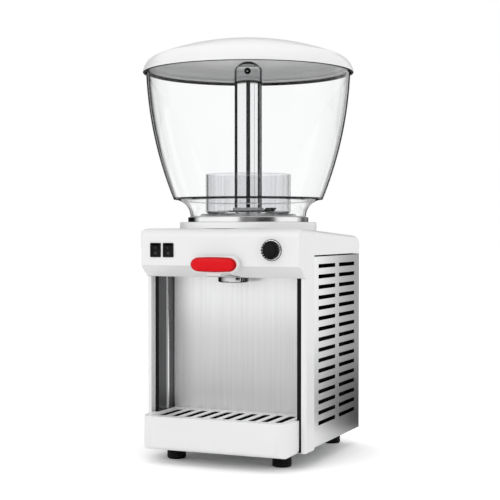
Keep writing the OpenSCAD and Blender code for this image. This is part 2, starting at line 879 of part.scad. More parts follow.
// Polished tube with a domed cap and a small foot
module riser_column() {
  t = sheet_t;
  straight = column_top - column_dome;
  cap_r = (column_r * column_r + column_dome * column_dome) / (2 * column_dome);
  color("silver") difference() {
    rotate_extrude() difference() {
      union() {
        translate([0, dish_floor]) square([column_r, straight - dish_floor]);
        intersection() {
          translate([0, column_top - cap_r]) circle(cap_r);
          translate([0, straight]) square([column_r, column_dome]);
        }
      }
      translate([-past, -past]) square([past, 4 * past]);
      translate([0, dish_floor]) square([column_r - t, straight - dish_floor]);
      intersection() {
        translate([0, column_top - cap_r]) circle(cap_r - t);
        translate([0, straight]) square([column_r - t, column_dome]);
      }
    }
    nozzle_bore(nozzle_w / 2);
  }
}

module nozzle_bore(r) {
  rotate([0, 0, nozzle_turn]) translate([0, 0, nozzle_z]) rotate([90, 0, 0]) cylinder(h = past, r = r);
}

// Black plug with a small jet hole in the column's front
module column_nozzle() {
  color("black") difference() {
    intersection() {
      nozzle_bore(nozzle_w / 2 - run_fit);
      difference() {
        translate([0, 0, nozzle_z - nozzle_w]) cylinder(h = 2 * nozzle_w, r = column_r + 1.5);
        translate([0, 0, nozzle_z - 2 * nozzle_w]) cylinder(h = 4 * nozzle_w, r = column_r - 5);
      }
    }
    nozzle_bore(1.5);
  }
}

// Clear cup with a rounded foot, open above, with room for the impeller and a hole over the drain
module flow_guard() {
  edge = 6;
  low = dish_floor + seat_gap;
  high = low + guard_h;
  color("lightcyan") difference() {
    rotate_extrude() difference() {
      guard_outline(0, low, high, edge);
      guard_outline(guard_wall, low + guard_wall, high + 1, edge);
      translate([-past, 0]) square([past, 2 * past]);
      square([vane_reach + 4, 2 * past]);
    }
    translate([tube_x, tube_y, low - 1]) cylinder(h = guard_wall + 2, r = tube_bore_r);
  }
}

module guard_outline(i, low, high, edge) {
  translate([0, low + edge - i]) square([guard_r - i, high - low - edge + i]);
  translate([0, low]) square([guard_r - edge, high - low]);
  translate([guard_r - edge, low + edge - i]) circle(edge - i);
}

// Plain bush that the impeller turns on
module impeller_bush() {
  color("ivory") translate([0, 0, dish_floor + seat_gap]) difference() {
    cylinder(h = bush_h, r = bush_r);
    translate([0, 0, -1]) cylinder(h = bush_h + 2, r = column_r + run_fit);
  }
}

// Black hub with one tall slanted vane and a low bar that balances it
module impeller() {
  lean = 6;
  root = hub_bore_r + hub_wall / 2;
  color("dimgray") difference() {
    union() {
      translate([0, 0, hub_low]) cylinder(h = hub_h, r = hub_bore_r + hub_wall);
      along(-vane_w / 2, vane_w / 2) polygon([
        [root, hub_low], [vane_reach - lean, hub_low], [vane_reach, hub_low + vane_h], [root + lean, hub_low + vane_h],
        [root, hub_low + hub_h]
      ]);
      span([-vane_reach, -vane_w / 4, hub_low], [-root, vane_w / 4, hub_low + hub_h / 2]);
    }
    translate([0, 0, hub_low - 1]) cylinder(h = vane_h + past, r = hub_bore_r);
  }
}

// Stirring drive under the dish

module drive_magnet() {
  color("slategray") difference() {
    translate([0, 0, magnet_low]) cylinder(h = magnet_h, r = magnet_r);
    cylinder(h = 2 * past, r = drive_shaft_r);
  }
}

module drive_shaft() {
  color("silver") translate([0, 0, motor_top - 10]) cylinder(h = magnet_low + magnet_h - motor_top + 10, r = drive_shaft_r);
}

// Geared motor with a bored top for its shaft
module drive_motor() {
  gear_h = motor_h * 0.35;
  color("darkgray") difference() {
    union() {
      translate([0, 0, motor_top - gear_h]) cylinder(h = gear_h, r = motor_r);
      translate([0, 0, motor_top - motor_h]) cylinder(h = motor_h, r = motor_r * 0.8);
    }
    translate([0, 0, motor_top - 11]) cylinder(h = past, r = drive_shaft_r + run_fit);
  }
}

// Strap across the drum's lower edge that carries the motor
module motor_bracket() {
  w = motor_r * 1.5;
  color("lightgray") difference() {
    translate([0, 0, bracket_low]) linear_extrude(sheet_t) rounded_rect(2 * drum_r + 6, w, 4);
    cylinder(h = 2 * past, r = drive_shaft_r + 4);
  }
}

// Bowl and lid

// Clear bowl: straight neck, cove, sharp shoulder and one curved side
module bowl() {
  rim = [bowl_rim_r, bowl_rim];
  shoulder = [shoulder_r, shoulder_z];
  c = arc_centre(shoulder, rim, bowl_arc_r);
  color("lightblue") rotate_extrude() {
    intersection() {
      difference() {
        translate(c) circle(bowl_arc_r, $fn = fine_fn);
        translate(c) circle(bowl_arc_r - bowl_wall, $fn = fine_fn);
      }
      translate([0, shoulder_z]) square([past, bowl_rim - shoulder_z]);
    }
    intersection() {
      difference() {
        translate([shoulder_r, neck_low]) circle(cove_r + bowl_wall);
        translate([shoulder_r, neck_low]) circle(cove_r);
      }
      translate([0, neck_low]) square([shoulder_r, past]);
    }
  }
}

// Half outline of everything under the lid's skin, set in by i
module lid_outline(i) {
  edge = [lid_edge_at, lid_edge_z];
  outward = (edge - [0, lid_dome_z]) / (lid_dome_r - lid_edge_r);
  low = lid_low - 2 * lid_edge_r;
  intersection() {
    translate([0, lid_dome_z]) circle(lid_dome_r - i, $fn = fine_fn);
    union() {
      polygon([[0, low], [lid_edge_at, low], edge, edge + 2 * lid_edge_r * outward, [0, lid_top + lid_edge_r]]);
      translate([0, low]) square([lid_r - i, lid_edge_z - low]);
      translate(edge) circle(lid_edge_r - i);
    }
  }
}

// White domed lid with a seat for the bowl's rim and a deflector over the column
module lid() {
  seat_w = bowl_wall + 4;
  rim_bore = bowl_rim_r + 1;
  color("white") rotate_extrude() difference() {
    union() {
      difference() {
        lid_outline(0);
        lid_outline(lid_wall);
      }
      intersection() {
        lid_outline(0);
        translate([bowl_rim_r - seat_w, lid_low]) square([past, lid_seat + lid_wall - lid_low]);
      }
      intersection() {
        lid_outline(lid_wall / 2);
        translate([deflector_r - lid_wall, column_top + 5]) square([lid_wall, past]);
      }
    }
    translate([-past, 0]) square([past, 3 * past]);
    square([past, lid_low]);
    translate([0, lid_low - 1]) square([rim_bore, lid_seat - lid_low + 1]);
  }
}

// Tap and lever

// Upright run from the dish and a side run to the tap's axis
module outlet_run(r) {
  bend = [tube_x, tube_y, port_z];
  top = dish_floor - sheet_t;
  translate(bend - [0, 0, r]) cylinder(h = top - port_z + r, r = r);
  rod(bend, [0, -tap_front, port_z], r - 0.5);
}

// Tube from the dish down and across to the tap
module outlet_tube() {
  color("white") difference() {
    outlet_run(tube_r);
    outlet_run(tube_bore_r);
    translate([tube_x, tube_y, port_z]) cylinder(h = past, r = tube_bore_r);
    translate([0, -tap_front, 0]) cylinder(h = past, r = tap_r + run_fit);
  }
}

// Valve body: bored barrel with a neck through the floor, a side port and a slot for the lever
module tap_body() {
  color("whitesmoke") translate([0, -tap_front, 0]) difference() {
    union() {
      translate([0, 0, floor_top]) cylinder(h = tap_h, r = tap_r);
      translate([0, 0, neck_end]) cylinder(h = tap_h, r = tap_bore_r);
    }
    translate([0, 0, seat_z]) cylinder(h = past, r = tap_bore_r);
    cylinder(h = past, r = outlet_r);
    translate([0, tap_front, 0]) outlet_run(tube_bore_r);
    span([-tongue_w / 2 - 1, -past, tongue_z - tongue_t], [tongue_w / 2 + 1, 0, tongue_z + slot_half + 6]);
  }
}

module tap_cap() {
  color("whitesmoke") translate([0, -tap_front, tap_top]) {
    cylinder(h = 4, r = tap_r);
    translate([0, 0, -cap_spigot]) cylinder(h = cap_spigot, r = tap_bore_r - run_fit);
  }
}

// Polished round spout under the head
module spout() {
  edge = 2.5;
  top = head_under - seat_gap;
  color("silver") translate([0, -tap_front, 0]) rotate_extrude() difference() {
    union() {
      translate([0, spout_low + edge]) square([spout_r, top - spout_low - edge]);
      translate([0, spout_low]) square([spout_r - edge, top - spout_low]);
      translate([spout_r - edge, spout_low + edge]) circle(edge);
    }
    translate([-past, 0]) square([past, 2 * past]);
    square([outlet_r, past]);
    translate([0, neck_end - seat_gap]) square([tap_bore_r + run_fit, past]);
  }
}

// Piston that closes the outlet, with a window for the lever's tongue
module valve_piston() {
  color("white") difference() {
    translate([0, -tap_front, seat_z + seat_gap]) cylinder(h = piston_top - seat_z - seat_gap, r = piston_r);
    span([-tongue_w / 2 - 0.8, -past, tongue_z - slot_half], [tongue_w / 2 + 0.8, past, tongue_z + slot_half]);
  }
}

module valve_spring() {
  color("silver") translate([0, -tap_front, 0])
    helix(spring_r, spring_wire_r, spring_low, spring_high, spring_turns, 12);
}

// White lever: backing for the grip, arm, hub and a tongue that lifts the piston
module lever() {
  color("whitesmoke") difference() {
    union() {
      translate([0, 0, grip_z]) along(grip_back, backing_back)
        pill(grip_w + 2 * backing_margin, grip_h + 2 * backing_margin);
      span([-arm_w / 2, grip_back, arm_low], [arm_w / 2, pivot_y, arm_low + arm_h]);
      translate([-arm_w / 2 - 2, pivot_y, pivot_z]) rotate([0, 90, 0]) cylinder(h = arm_w + 4, r = lever_hub_r);
      span([-tongue_w / 2, pivot_y - lever_hub_r, pivot_z], [tongue_w / 2, pivot_y + lever_hub_r, tongue_z + tongue_t / 2]);
      span([-tongue_w / 2, pivot_y, tongue_z - tongue_t / 2], [tongue_w / 2, tongue_tip, tongue_z + tongue_t / 2]);
    }
    translate([-past, pivot_y, pivot_z]) rotate([0, 90, 0]) cylinder(h = 2 * past, r = pin_r + run_fit);
  }
}

// The grip's outline from the front: round ends, with the long edges slightly bowed
module grip_outline() {
  intersection() {
    pill(grip_w, grip_h);
    translate([0, grip_bow_r - grip_h / 2]) circle(grip_bow_r, $fn = fine_fn);
    translate([0, grip_h / 2 - grip_bow_r]) circle(grip_bow_r, $fn = fine_fn);
  }
}

// Red grip: bowed outline, ends swept back and long edges bevelled
module lever_grip() {
  bevel = 2.5;
  sweep = grip_t / 4;
  half = grip_w / 2;
  color("red") intersection() {
    translate([0, 0, grip_z]) along(grip_front, grip_back) grip_outline();
    linear_extrude(past) {
      translate([-half, grip_front + sweep]) square([grip_w, grip_t - sweep]);
      translate([sweep - half, grip_front]) square([grip_w - 2 * sweep, grip_t]);
      for (x = [-1, 1]) translate([x * (half - sweep), grip_front + sweep]) circle(sweep);
    }
    translate([0, 0, grip_z]) across(past) polygon([
      [grip_front, bevel - grip_h / 2], [grip_front, grip_h / 2 - bevel], [grip_front + bevel, grip_h / 2],
      [grip_back, grip_h / 2], [grip_back, -grip_h / 2], [grip_front + bevel, -grip_h / 2]
    ]);
  }
}

module lever_pin() {
  length = 2 * (ear_x + ear_t + 1);
  color("silver") translate([-length / 2, pivot_y, pivot_z]) rotate([0, 90, 0]) cylinder(h = length, r = pin_r);
}

// Folded bracket on the head's floor with two ears for the pin
module lever_bracket() {
  ear_w = 2 * lever_hub_r;
  color("lightgray") difference() {
    union() {
      for (x = [0, 1]) mirror([x, 0, 0]) {
        span([ear_x, pivot_y - 4, floor_top], [ear_x + ear_t, pivot_y + lever_hub_r, pivot_z]);
        translate([ear_x, pivot_y, pivot_z]) rotate([0, 90, 0]) cylinder(h = ear_t, r = lever_hub_r);
      }
      span([-ear_x - 10, pivot_y, floor_top], [ear_x + 10, pivot_y + lever_hub_r, floor_top + sheet_t]);
    }
    translate([-past, pivot_y, pivot_z]) rotate([0, 90, 0]) cylinder(h = 2 * past, r = pin_r);
  }
}

// Controls

// Snap-in switch housing with a frame on the fascia and bores for the rocker's axle
module switch_housing(x) {
  inner_w = rocker_w + 0.8;
  inner_h = 2 * rocker_half_h + 2.4;
  front = -head_front - switch_frame_t;
  back = -head_front + switch_depth;
  color("black") translate([x, 0, switch_z]) difference() {
    union() {
      along(front, -head_front) rounded_rect(switch_w, switch_h, 1.2);
      along(-head_front, back) square([cutout_w - loose_gap, cutout_h - loose_gap], center = true);
    }
    along(front - 1, back - 4) square([inner_w, inner_h], center = true);
    translate([-past / 2, rocker_y, 0]) rotate([0, 90, 0]) cylinder(h = past, r = rocker_axle_r + run_fit);
  }
}

// Dished rocker on an axle, at rest with its lower half pressed
module switch_rocker(x) {
  dish = rocker_half_h * tan(rocker_tilt);
  axle_len = cutout_w - loose_gap - 0.2;
  color("black") translate([x, rocker_y, switch_z]) rotate([rocker_tilt, 0, 0]) {
    across(rocker_w) polygon([
      [-rocker_face, 0], [-rocker_face - dish, rocker_half_h], [0, rocker_half_h], [3, 3],
      [3, -3], [0, -rocker_half_h], [-rocker_face - dish, -rocker_half_h]
    ]);
    translate([-axle_len / 2, 0, 0]) rotate([0, 90, 0]) cylinder(h = axle_len, r = rocker_axle_r);
  }
}

module switch_housing_left() {
  switch_housing(-switch_x - switch_pitch);
}

module switch_housing_right() {
  switch_housing(-switch_x);
}

module switch_rocker_left() {
  switch_rocker(-switch_x - switch_pitch);
}

module switch_rocker_right() {
  switch_rocker(-switch_x);
}

// Thermostat case behind the fascia with a bush through it
module thermostat() {
  case_front = fascia_back + seat_gap;
  color("darkgray") translate([knob_x, 0, knob_z - 4]) difference() {
    union() {
      along(case_front, case_front + thermo_depth) square([thermo_w, thermo_w], center = true);
      translate([0, case_front, 4]) rotate([90, 0, 0]) cylinder(h = shell_wall + 1.5, r = thermo_bush_r);
    }
    translate([0, case_front + thermo_depth - 4, 4]) rotate([90, 0, 0]) cylinder(h = past, r = thermo_shaft_r + run_fit);
  }
}

module thermostat_shaft() {
  back = fascia_back + thermo_depth - 5;
  color("silver") translate([knob_x, back, knob_z]) rotate([90, 0, 0])
    cylinder(h = back - knob_back + knob_len - 4, r = thermo_shaft_r);
}

// Fluted knob with a pointer that rests at the bottom
module knob() {
  flute_r = 1.4;
  color("black") translate([knob_x, 0, knob_z]) difference() {
    union() {
      translate([0, knob_back, 0]) rotate([90, 0, 0]) cylinder(h = knob_len, r1 = knob_r, r2 = knob_face_r);
      translate([0, knob_back, 0]) rotate([90, 0, 0]) cylinder(h = 2, r = knob_r + 1.5);
      along(knob_back - knob_len - 1, knob_back - knob_len)
        translate([-1.2, 1 - knob_face_r]) square([2.4, knob_face_r - 3]);
    }
    for (i = [0 : knob_flutes - 1]) rotate([0, i * 360 / knob_flutes, 0])
      translate([(knob_r + knob_face_r) / 2, knob_back - 3, 0]) rotate([90, 0, 0]) cylinder(h = past, r = flute_r);
    translate([0, past, 0]) rotate([90, 0, 0])
      cylinder(h = past - knob_back + knob_len - 4, r = thermo_shaft_r);
  }
}

module knob_ring() {
  color("dimgray") translate([knob_x, -head_front, knob_z]) rotate([90, 0, 0]) difference() {
    cylinder(h = 2, r = knob_ring_r);
    translate([0, 0, -1]) cylinder(h = 4, r = thermo_bush_r + loose_gap);
  }
}

// Drip tray and grille

module nose_plan(i) {
  depth = tray_front + tray_step - i;
  r = tray_corner_r - i;
  half = tray_half_w - i;
  translate([-half, r + i - tray_front]) square([2 * half, depth - r]);
  translate([-half + r, i - tray_front]) square([2 * (half - r), depth]);
  for (x = [-1, 1]) translate([x * (half - r), r + i - tray_front]) circle(r);
}

// Front block of the tray set in by i: round corners in plan and a round lower edge
module tray_nose(i) {
  depth = tray_front + tray_step;
  e = tray_edge_r - i;
  half = tray_half_w - i;
  front = -tray_front + i;
  intersection() {
    linear_extrude(tray_rim + 1) nose_plan(i);
    across(body_w) {
      translate([front, tray_low + i + e]) square([depth, tray_rim - tray_low]);
      translate([front + e, tray_low + i]) square([depth - e, tray_rim - tray_low]);
      translate([front + e, tray_low + i + e]) circle(e);
    }
    along(-past, 0) {
      translate([-half, tray_low + i + e]) square([2 * half, tray_rim - tray_low]);
      translate([-half + e, tray_low + i]) square([2 * (half - e), tray_rim - tray_low]);
      for (x = [-1, 1]) translate([x * (half - e), tray_low + i + e]) circle(e);
    }
  }
}

// White tray: wide front, hollow from below, and a basin between the liner's walls with a ledge for the grille
module drip_tray() {
  floor_z = pan_floor + 0.3;
  ledge = 3;
  color("whitesmoke") difference() {
    union() {
      tray_nose(0);
      span([-tray_inner_half_w, tray_step - tray_wall, floor_z], [tray_inner_half_w, tray_back, tray_rim]);
    }
    span([-past, -past, tray_rim], [past, past, past]);
    span([ledge - grille_half_w, grille_front + ledge, floor_z + tray_wall], [grille_half_w - ledge, grille_back - ledge, past]);
    span([-grille_half_w, grille_front, grille_seat], [grille_half_w, grille_back, past]);
    translate([0, 0, -1]) linear_extrude(tray_rim - tray_wall + 1) intersection() {
      nose_plan(tray_edge_r);
      translate([-past, -past]) square([2 * past, past + grille_front - tray_wall]);
    }
  }
}

// Stainless plate with a row of slots
module drip_grille() {
  w = 2 * (grille_half_w - loose_gap);
  d = grille_back - grille_front - 2 * loose_gap;
  color("silver") translate([0, (grille_front + grille_back) / 2, grille_seat + 0.1]) linear_extrude(grille_t) difference() {
    square([w, d], center = true);
    for (i = [0 : grille_slots - 1])
      translate([(i - (grille_slots - 1) / 2) * grille_pitch, 0]) rotate(90) pill(grille_slot_len, grille_slot_w);
  }
}

// Refrigeration

function mount_places() =
  [for (x = [-1, 1], y = [-1, 1]) [-comp_x + x * mount_spread[0], comp_y + y * mount_spread[1], 0]];

// Sealed pot on a base plate
module compressor() {
  dome = comp_r * 0.5;
  color("black") {
    difference() {
      translate([-comp_x, comp_y, comp_plate_z]) linear_extrude(3)
        rounded_rect(2 * (mount_spread[0] + mount_r), 2 * (mount_spread[1] + mount_r), mount_r);
      for (p = mount_places()) translate(p) cylinder(h = past, r = mount_bolt_r + seat_gap);
    }
    translate([-comp_x, comp_y, comp_low]) rotate_extrude() difference() {
      union() {
        square([comp_r, comp_h - dome]);
        square([comp_r - dome, comp_h]);
        translate([comp_r - dome, comp_h - dome]) circle(dome);
      }
      translate([-past, -past]) square([past, 2 * past]);
    }
  }
}

// Rubber mounts under the compressor's plate, each with its bolt spigot
module compressor_mounts() {
  color("dimgray") for (p = mount_places()) translate([p[0], p[1], 0]) {
    translate([0, 0, pan_floor]) cylinder(h = mount_h, r = mount_r);
    translate([0, 0, foot_h]) cylinder(h = mount_h + sheet_t + 5, r = mount_bolt_r);
  }
}

// Finned condenser: tubes in a zigzag through a stack of plates
module condenser() {
  fin_t = 0.8;
  fin_pitch = (cond_len - fin_t) / (cond_fins - 1);
  color("lightgray") {
    for (i = [0 : cond_fins - 1])
      translate([cond_x - cond_t, cond_front + i * fin_pitch, cond_low]) cube([cond_t, fin_t, cond_h]);
    for (row = [0 : cond_rows - 1])
      translate([cond_mid, cond_front - tube_end, tube_row(row)])
        rotate([-90, 0, 0]) cylinder(h = cond_len + 2 * tube_end, r = pipe_r);
    for (row = [0 : cond_rows - 2]) {
      back = row % 2 == 0;
      translate([
        cond_mid, back ? cond_front + cond_len + tube_end : cond_front - tube_end, tube_row(row) + cond_row_pitch / 2
      ])
        rotate([90, 0, 90]) rotate([0, 0, back ? -90 : 90])
          rotate_extrude(angle = 180) translate([cond_row_pitch / 2, 0]) circle(pipe_r);
    }
  }
}

function tube_row(row) = cond_low + (row + 0.5) * cond_row_pitch;

// Plate with a round mouth that leads the fan's air through the condenser
module fan_shroud() {
  mouth = fan_r + 3;
  color("lightgray") difference() {
    union() {
      span([shroud_x, cond_front, pan_floor], [shroud_x + sheet_t, cond_front + cond_len, cond_low + cond_h]);
      translate([shroud_x - 8, fan_y, fan_z]) rotate([0, 90, 0]) cylinder(h = 8, r = mouth + sheet_t);
    }
    translate([0, fan_y, fan_z]) rotate([0, 90, 0]) cylinder(h = past, r = mouth);
  }
}

// Upright strap from the pan to the fan motor
module fan_bracket() {
  back = fan_motor_front - fan_motor_len - seat_gap;
  w = fan_motor_r * 1.4;
  color("lightgray") {
    span([back - sheet_t, fan_y - w / 2, pan_floor], [back, fan_y + w / 2, fan_z + fan_motor_r]);
    span([back - w / 2, fan_y - w / 2, pan_floor], [back, fan_y + w / 2, pan_floor + sheet_t]);
  }
}

module fan_motor() {
  color("darkgray") translate([fan_motor_front, fan_y, fan_z]) rotate([0, -90, 0]) difference() {
    cylinder(h = fan_motor_len, r = fan_motor_r);
    translate([0, 0, -1]) cylinder(h = fan_motor_len - 5, r = fan_shaft_r + run_fit);
  }
}

// Fan with pitched blades and its shaft
module fan_blade() {
  blade_t = 1.6;
  chord = 34;
  color("black") translate([fan_x, fan_y, fan_z]) {
    rotate([0, 90, 0]) cylinder(h = fan_depth, r = fan_hub_r);
    rotate([0, -90, 0]) cylinder(h = fan_x - fan_motor_front + fan_motor_len - 8, r = fan_shaft_r);
    intersection() {
      rotate([0, 90, 0]) cylinder(h = fan_depth, r = fan_r);
      for (i = [0 : fan_blades - 1]) rotate([i * 360 / fan_blades, 0, 0])
        translate([fan_depth / 2, 0, fan_hub_r - 2]) rotate([0, 0, 90 - fan_pitch])
          translate([-blade_t / 2, -chord / 2, 0]) cube([blade_t, chord, fan_r]);
    }
  }
}

// Hot gas line from the compressor to the lowest condenser tube
module discharge_pipe() {
  z = tube_row(0);
  side = comp_r - comp_x;
  run_x = side + 14;
  run_y = cond_front - tube_end - 13;
  color("peru") bent_pipe([
    [cond_mid, cond_front - tube_end - seat_gap, z], [cond_mid, run_y, z], [run_x, run_y, z],
    [run_x, comp_y, z], [side + seat_gap, comp_y, z]
  ], pipe_r);
}

// Line from the highest condenser tube through the filter drier and the capillary to the coil, brazed in one
module liquid_line() {
  neck = 8;
  z = tube_row(cond_rows - 1);
  bridge = z + 24;
  drier = [drier_x, drier_y, drier_low];
  up = [0, 0, drier_len + neck / 2];
  entry = coil_foot(0.25);
  rise = [drier_x - pipe_clear, drier_y, drier_low - pipe_clear];
  turn_z = head_under - 10;
  color("peru") {
    translate(drier) {
      cylinder(h = drier_len, r = drier_r);
      translate([0, 0, drier_len]) cylinder(h = neck, r1 = drier_r, r2 = pipe_r + 1);
      translate([0, 0, -neck]) cylinder(h = neck, r1 = capillary_r + 1, r2 = drier_r);
    }
    bent_pipe([
      [cond_mid, cond_front - tube_end - seat_gap, z], [cond_mid, drier_y, z], [cond_mid, drier_y, bridge],
      [drier_x, drier_y, bridge], drier + up
    ], pipe_r);
    bent_pipe([
      drier, [drier_x, drier_y, rise[2]], rise, [rise[0], rise[1], turn_z],
      [entry[0], entry[1], turn_z], entry
    ], capillary_r);
  }
}

// Cold gas line from the coil back to the compressor
module suction_pipe() {
  start = coil_foot(0);
  z = head_under + pipe_clear;
  end = [-comp_x - suction_inset, start[1], comp_low + comp_h + seat_gap];
  color("peru") bent_pipe([start, [start[0], start[1], z], [end[0], end[1], z], end], coil_tube_r);
}

body_shell();
head_floor();
bay_liner();
side_panel_left();
side_panel_right();
rear_panel();
rear_screws();
base_pan();
foot_front_left();
foot_front_right();
foot_rear_left();
foot_rear_right();
foot_screws();
cord_gland();
top_collar();
evaporator_dish();
bowl_gasket();
evaporator_coil();
insulation();
riser_column();
column_nozzle();
flow_guard();
impeller_bush();
impeller();
drive_magnet();
drive_shaft();
drive_motor();
motor_bracket();
bowl();
lid();
outlet_tube();
tap_body();
tap_cap();
spout();
valve_piston();
valve_spring();
lever();
lever_grip();
lever_pin();
lever_bracket();
switch_housing_left();
switch_housing_right();
switch_rocker_left();
switch_rocker_right();
thermostat();
thermostat_shaft();
knob();
knob_ring();
drip_tray();
drip_grille();
compressor();
compressor_mounts();
condenser();
fan_shroud();
fan_bracket();
fan_motor();
fan_blade();
discharge_pipe();
liquid_line();
suction_pipe();
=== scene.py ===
import json
import math

import bmesh
import bpy
from mathutils import Euler, Matrix, Vector

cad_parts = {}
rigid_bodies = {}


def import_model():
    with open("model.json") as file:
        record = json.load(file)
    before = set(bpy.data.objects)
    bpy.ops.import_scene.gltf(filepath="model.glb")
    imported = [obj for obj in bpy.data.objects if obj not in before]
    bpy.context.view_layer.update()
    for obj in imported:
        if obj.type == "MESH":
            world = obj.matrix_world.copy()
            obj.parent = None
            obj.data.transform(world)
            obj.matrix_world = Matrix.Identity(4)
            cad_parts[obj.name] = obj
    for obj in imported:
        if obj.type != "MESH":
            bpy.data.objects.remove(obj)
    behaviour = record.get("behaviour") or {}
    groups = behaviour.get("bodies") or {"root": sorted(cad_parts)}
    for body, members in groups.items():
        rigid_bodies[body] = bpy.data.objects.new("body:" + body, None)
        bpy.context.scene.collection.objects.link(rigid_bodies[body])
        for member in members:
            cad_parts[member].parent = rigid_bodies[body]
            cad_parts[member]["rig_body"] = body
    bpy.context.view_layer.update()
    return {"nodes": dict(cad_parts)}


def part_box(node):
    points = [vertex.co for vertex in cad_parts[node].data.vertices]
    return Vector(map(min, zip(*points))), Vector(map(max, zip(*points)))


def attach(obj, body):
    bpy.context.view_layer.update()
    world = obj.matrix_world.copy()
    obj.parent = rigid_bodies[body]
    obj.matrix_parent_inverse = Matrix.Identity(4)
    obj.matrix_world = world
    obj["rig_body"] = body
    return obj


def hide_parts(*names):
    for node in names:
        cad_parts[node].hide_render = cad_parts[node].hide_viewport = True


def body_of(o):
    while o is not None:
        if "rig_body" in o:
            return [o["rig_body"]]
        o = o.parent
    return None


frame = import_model()
nodes = frame["nodes"]
scene = bpy.context.scene


# Sizes of the finer pieces in metres, with angles in degrees and shares as plain numbers

MM = 0.001
ON_AXIS = 0.001 * MM
MERGE = 0.01 * MM
FLAT_ANGLE = 0.3
TOOL_SHARP = 40
FACING = 0.5
BOWL_WALL = 3 * MM
BOWL_SIDE_ARC = 630 * MM
BOWL_COVE = 28 * MM
BOWL_NECK_R = 97 * MM
BOWL_LINE = 3.2 * MM
LID_DOME_ARC = 440 * MM
LID_EDGE_ARC = 34 * MM
LID_OVERHANG = 5.5 * MM
LID_WALL = 3 * MM
LID_SEAT_W = 7 * MM
LID_DEFLECTOR_R = 20 * MM
COLUMN_CAP_H = 13 * MM
GUARD_WALL = 2.5 * MM
GUARD_EDGE = 6 * MM
GUARD_HOLE_R = 52 * MM
GUARD_LINE = 0.2 * MM
DISH_SHEET = 1.2 * MM
DISH_FLAT_R = 78 * MM
DISH_RIM_H = 8 * MM
DISH_RISE = 6 * MM
DRUM_R = 88 * MM
FOOT_GROOVES = 3
FOOT_GROOVE_R = 0.9 * MM
FOOT_EDGE = 3 * MM
SPOUT_BORE_R = 8 * MM
SPOUT_EDGE = 2.5 * MM
GRIP_BOW = 0.17
GRIP_SHADED_TILT = (-0.72, -0.16)
KNOB_FACE_R = 10 * MM
KNOB_RIBS = 18
KNOB_RIB_R = 1.3 * MM
RIB_SIDES = 16
KNOB_POINTER = (2.2 * MM, 6 * MM, 1.6 * MM)
RING_BORE_R = 6 * MM
RING_BEAD = 1 * MM
RING_LINE = 0.9 * MM
MARK_RING_R = 1.7 * MM
MARK_RING_W = 0.5 * MM
MARK_H = 0.1 * MM
MARK_LINE = (0.6 * MM, 3.4 * MM, 2 * MARK_H)
LINER_FOLD = 9.8 * MM
LINER_BRIGHT = 3.5 * MM
LINER_BEND = 1.6 * MM
LINER_GROOVE_DEPTH = 2.4 * MM
LINER_GROOVE_HALF = 4.6 * MM
LINER_GROOVE_AT = 0.58
TRAY_FLOOR_H = 2 * MM
GRILLE_GAP = 0.5 * MM
HEAD_FLOOR_H = 4 * MM
HEAD_ROOF_H = 25 * MM
HEAD_SIDE_X = 100 * MM
HEAD_FRONT_Y = -100 * MM
HEAD_REAR_Y = 150 * MM
PANEL_TOP_LINE = 1.3 * MM
PANEL_SIDE_LINE = 1.1 * MM
SCREW_HEAD_H = 2.4 * MM


# Places from the frame

def low(node):
    return Vector(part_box(node)[0])


def high(node):
    return Vector(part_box(node)[1])


def middle(node):
    return (low(node) + high(node)) / 2


# Mesh tools

def arc(centre, radius, start, end, steps=12):
    """Points along an arc between two angles in degrees."""
    turns = [math.radians(start + (end - start) * i / steps) for i in range(steps + 1)]
    return [(centre[0] + radius * math.cos(a), centre[1] + radius * math.sin(a)) for a in turns]


def angle_at(centre, point):
    """The angle in degrees at which a point lies round a centre."""
    return math.degrees(math.atan2(point[1] - centre[1], point[0] - centre[0]))


def lathe(bm, outline, axis=(0, 0), sides=144):
    """Turns a closed outline of (radius, height) points round an upright axis.

    The solid lies on the left of the outline.
    """
    turns = [2 * math.pi * j / sides for j in range(sides)]
    rings = []
    for r, z in outline:
        if r < ON_AXIS:
            spots = [(axis[0], axis[1], z)]
        else:
            spots = [(axis[0] + r * math.cos(a), axis[1] + r * math.sin(a), z) for a in turns]
        rings.append([bm.verts.new(spot) for spot in spots])
    for a, b in zip(rings, rings[1:] + rings[:1]):
        if len(a) == 1 and len(b) == 1:
            continue
        for j in range(sides):
            k = (j + 1) % sides
            corners = (a[j % len(a)], a[k % len(a)], b[k % len(b)], b[j % len(b)])
            bm.faces.new(list(dict.fromkeys(corners)))


def skin(bm, rings):
    """Faces between closed rings of points, with both ends closed."""
    count = len(rings[0])
    for a, b in zip(rings, rings[1:]):
        for i in range(count):
            k = (i + 1) % count
            bm.faces.new((a[i], a[k], b[k], b[i]))
    bm.faces.new(rings[-1])
    bm.faces.new(rings[0][::-1])
    bmesh.ops.recalc_face_normals(bm, faces=bm.faces)


def finished(name, bm, sharp=35):
    """A smooth-shaded mesh that keeps edges sharper than an angle."""
    mesh = bpy.data.meshes.new(name)
    bm.to_mesh(mesh)
    bm.free()
    mesh.shade_smooth()
    mesh.set_sharp_from_angle(angle=math.radians(sharp))
    return mesh


def turned(name, *outlines, axis=(0, 0), sides=144, sharp=35):
    """A mesh turned from one or more outlines."""
    bm = bmesh.new()
    for outline in outlines:
        lathe(bm, outline, axis, sides)
    return finished(name, bm, sharp)


def extruded(name, outline, foot, top, sharp=30):
    """An upright prism over a closed outline of (x, y) points."""
    bm = bmesh.new()
    skin(bm, [[bm.verts.new((x, y, z)) for x, y in outline] for z in (foot, top)])
    return finished(name, bm, sharp)


def slot_of(node):
    return CAD_SLOTS[node]


def place(name, mesh, node):
    """Shows a finished mesh for a node and lets it ride on the node's body."""
    piece = bpy.data.objects.new(name, mesh)
    scene.collection.objects.link(piece)
    if not mesh.materials:
        mesh.materials.append(FINISHES[slot_of(node)])
    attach(piece, body_of(nodes[node])[0])
    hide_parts(node)
    return piece


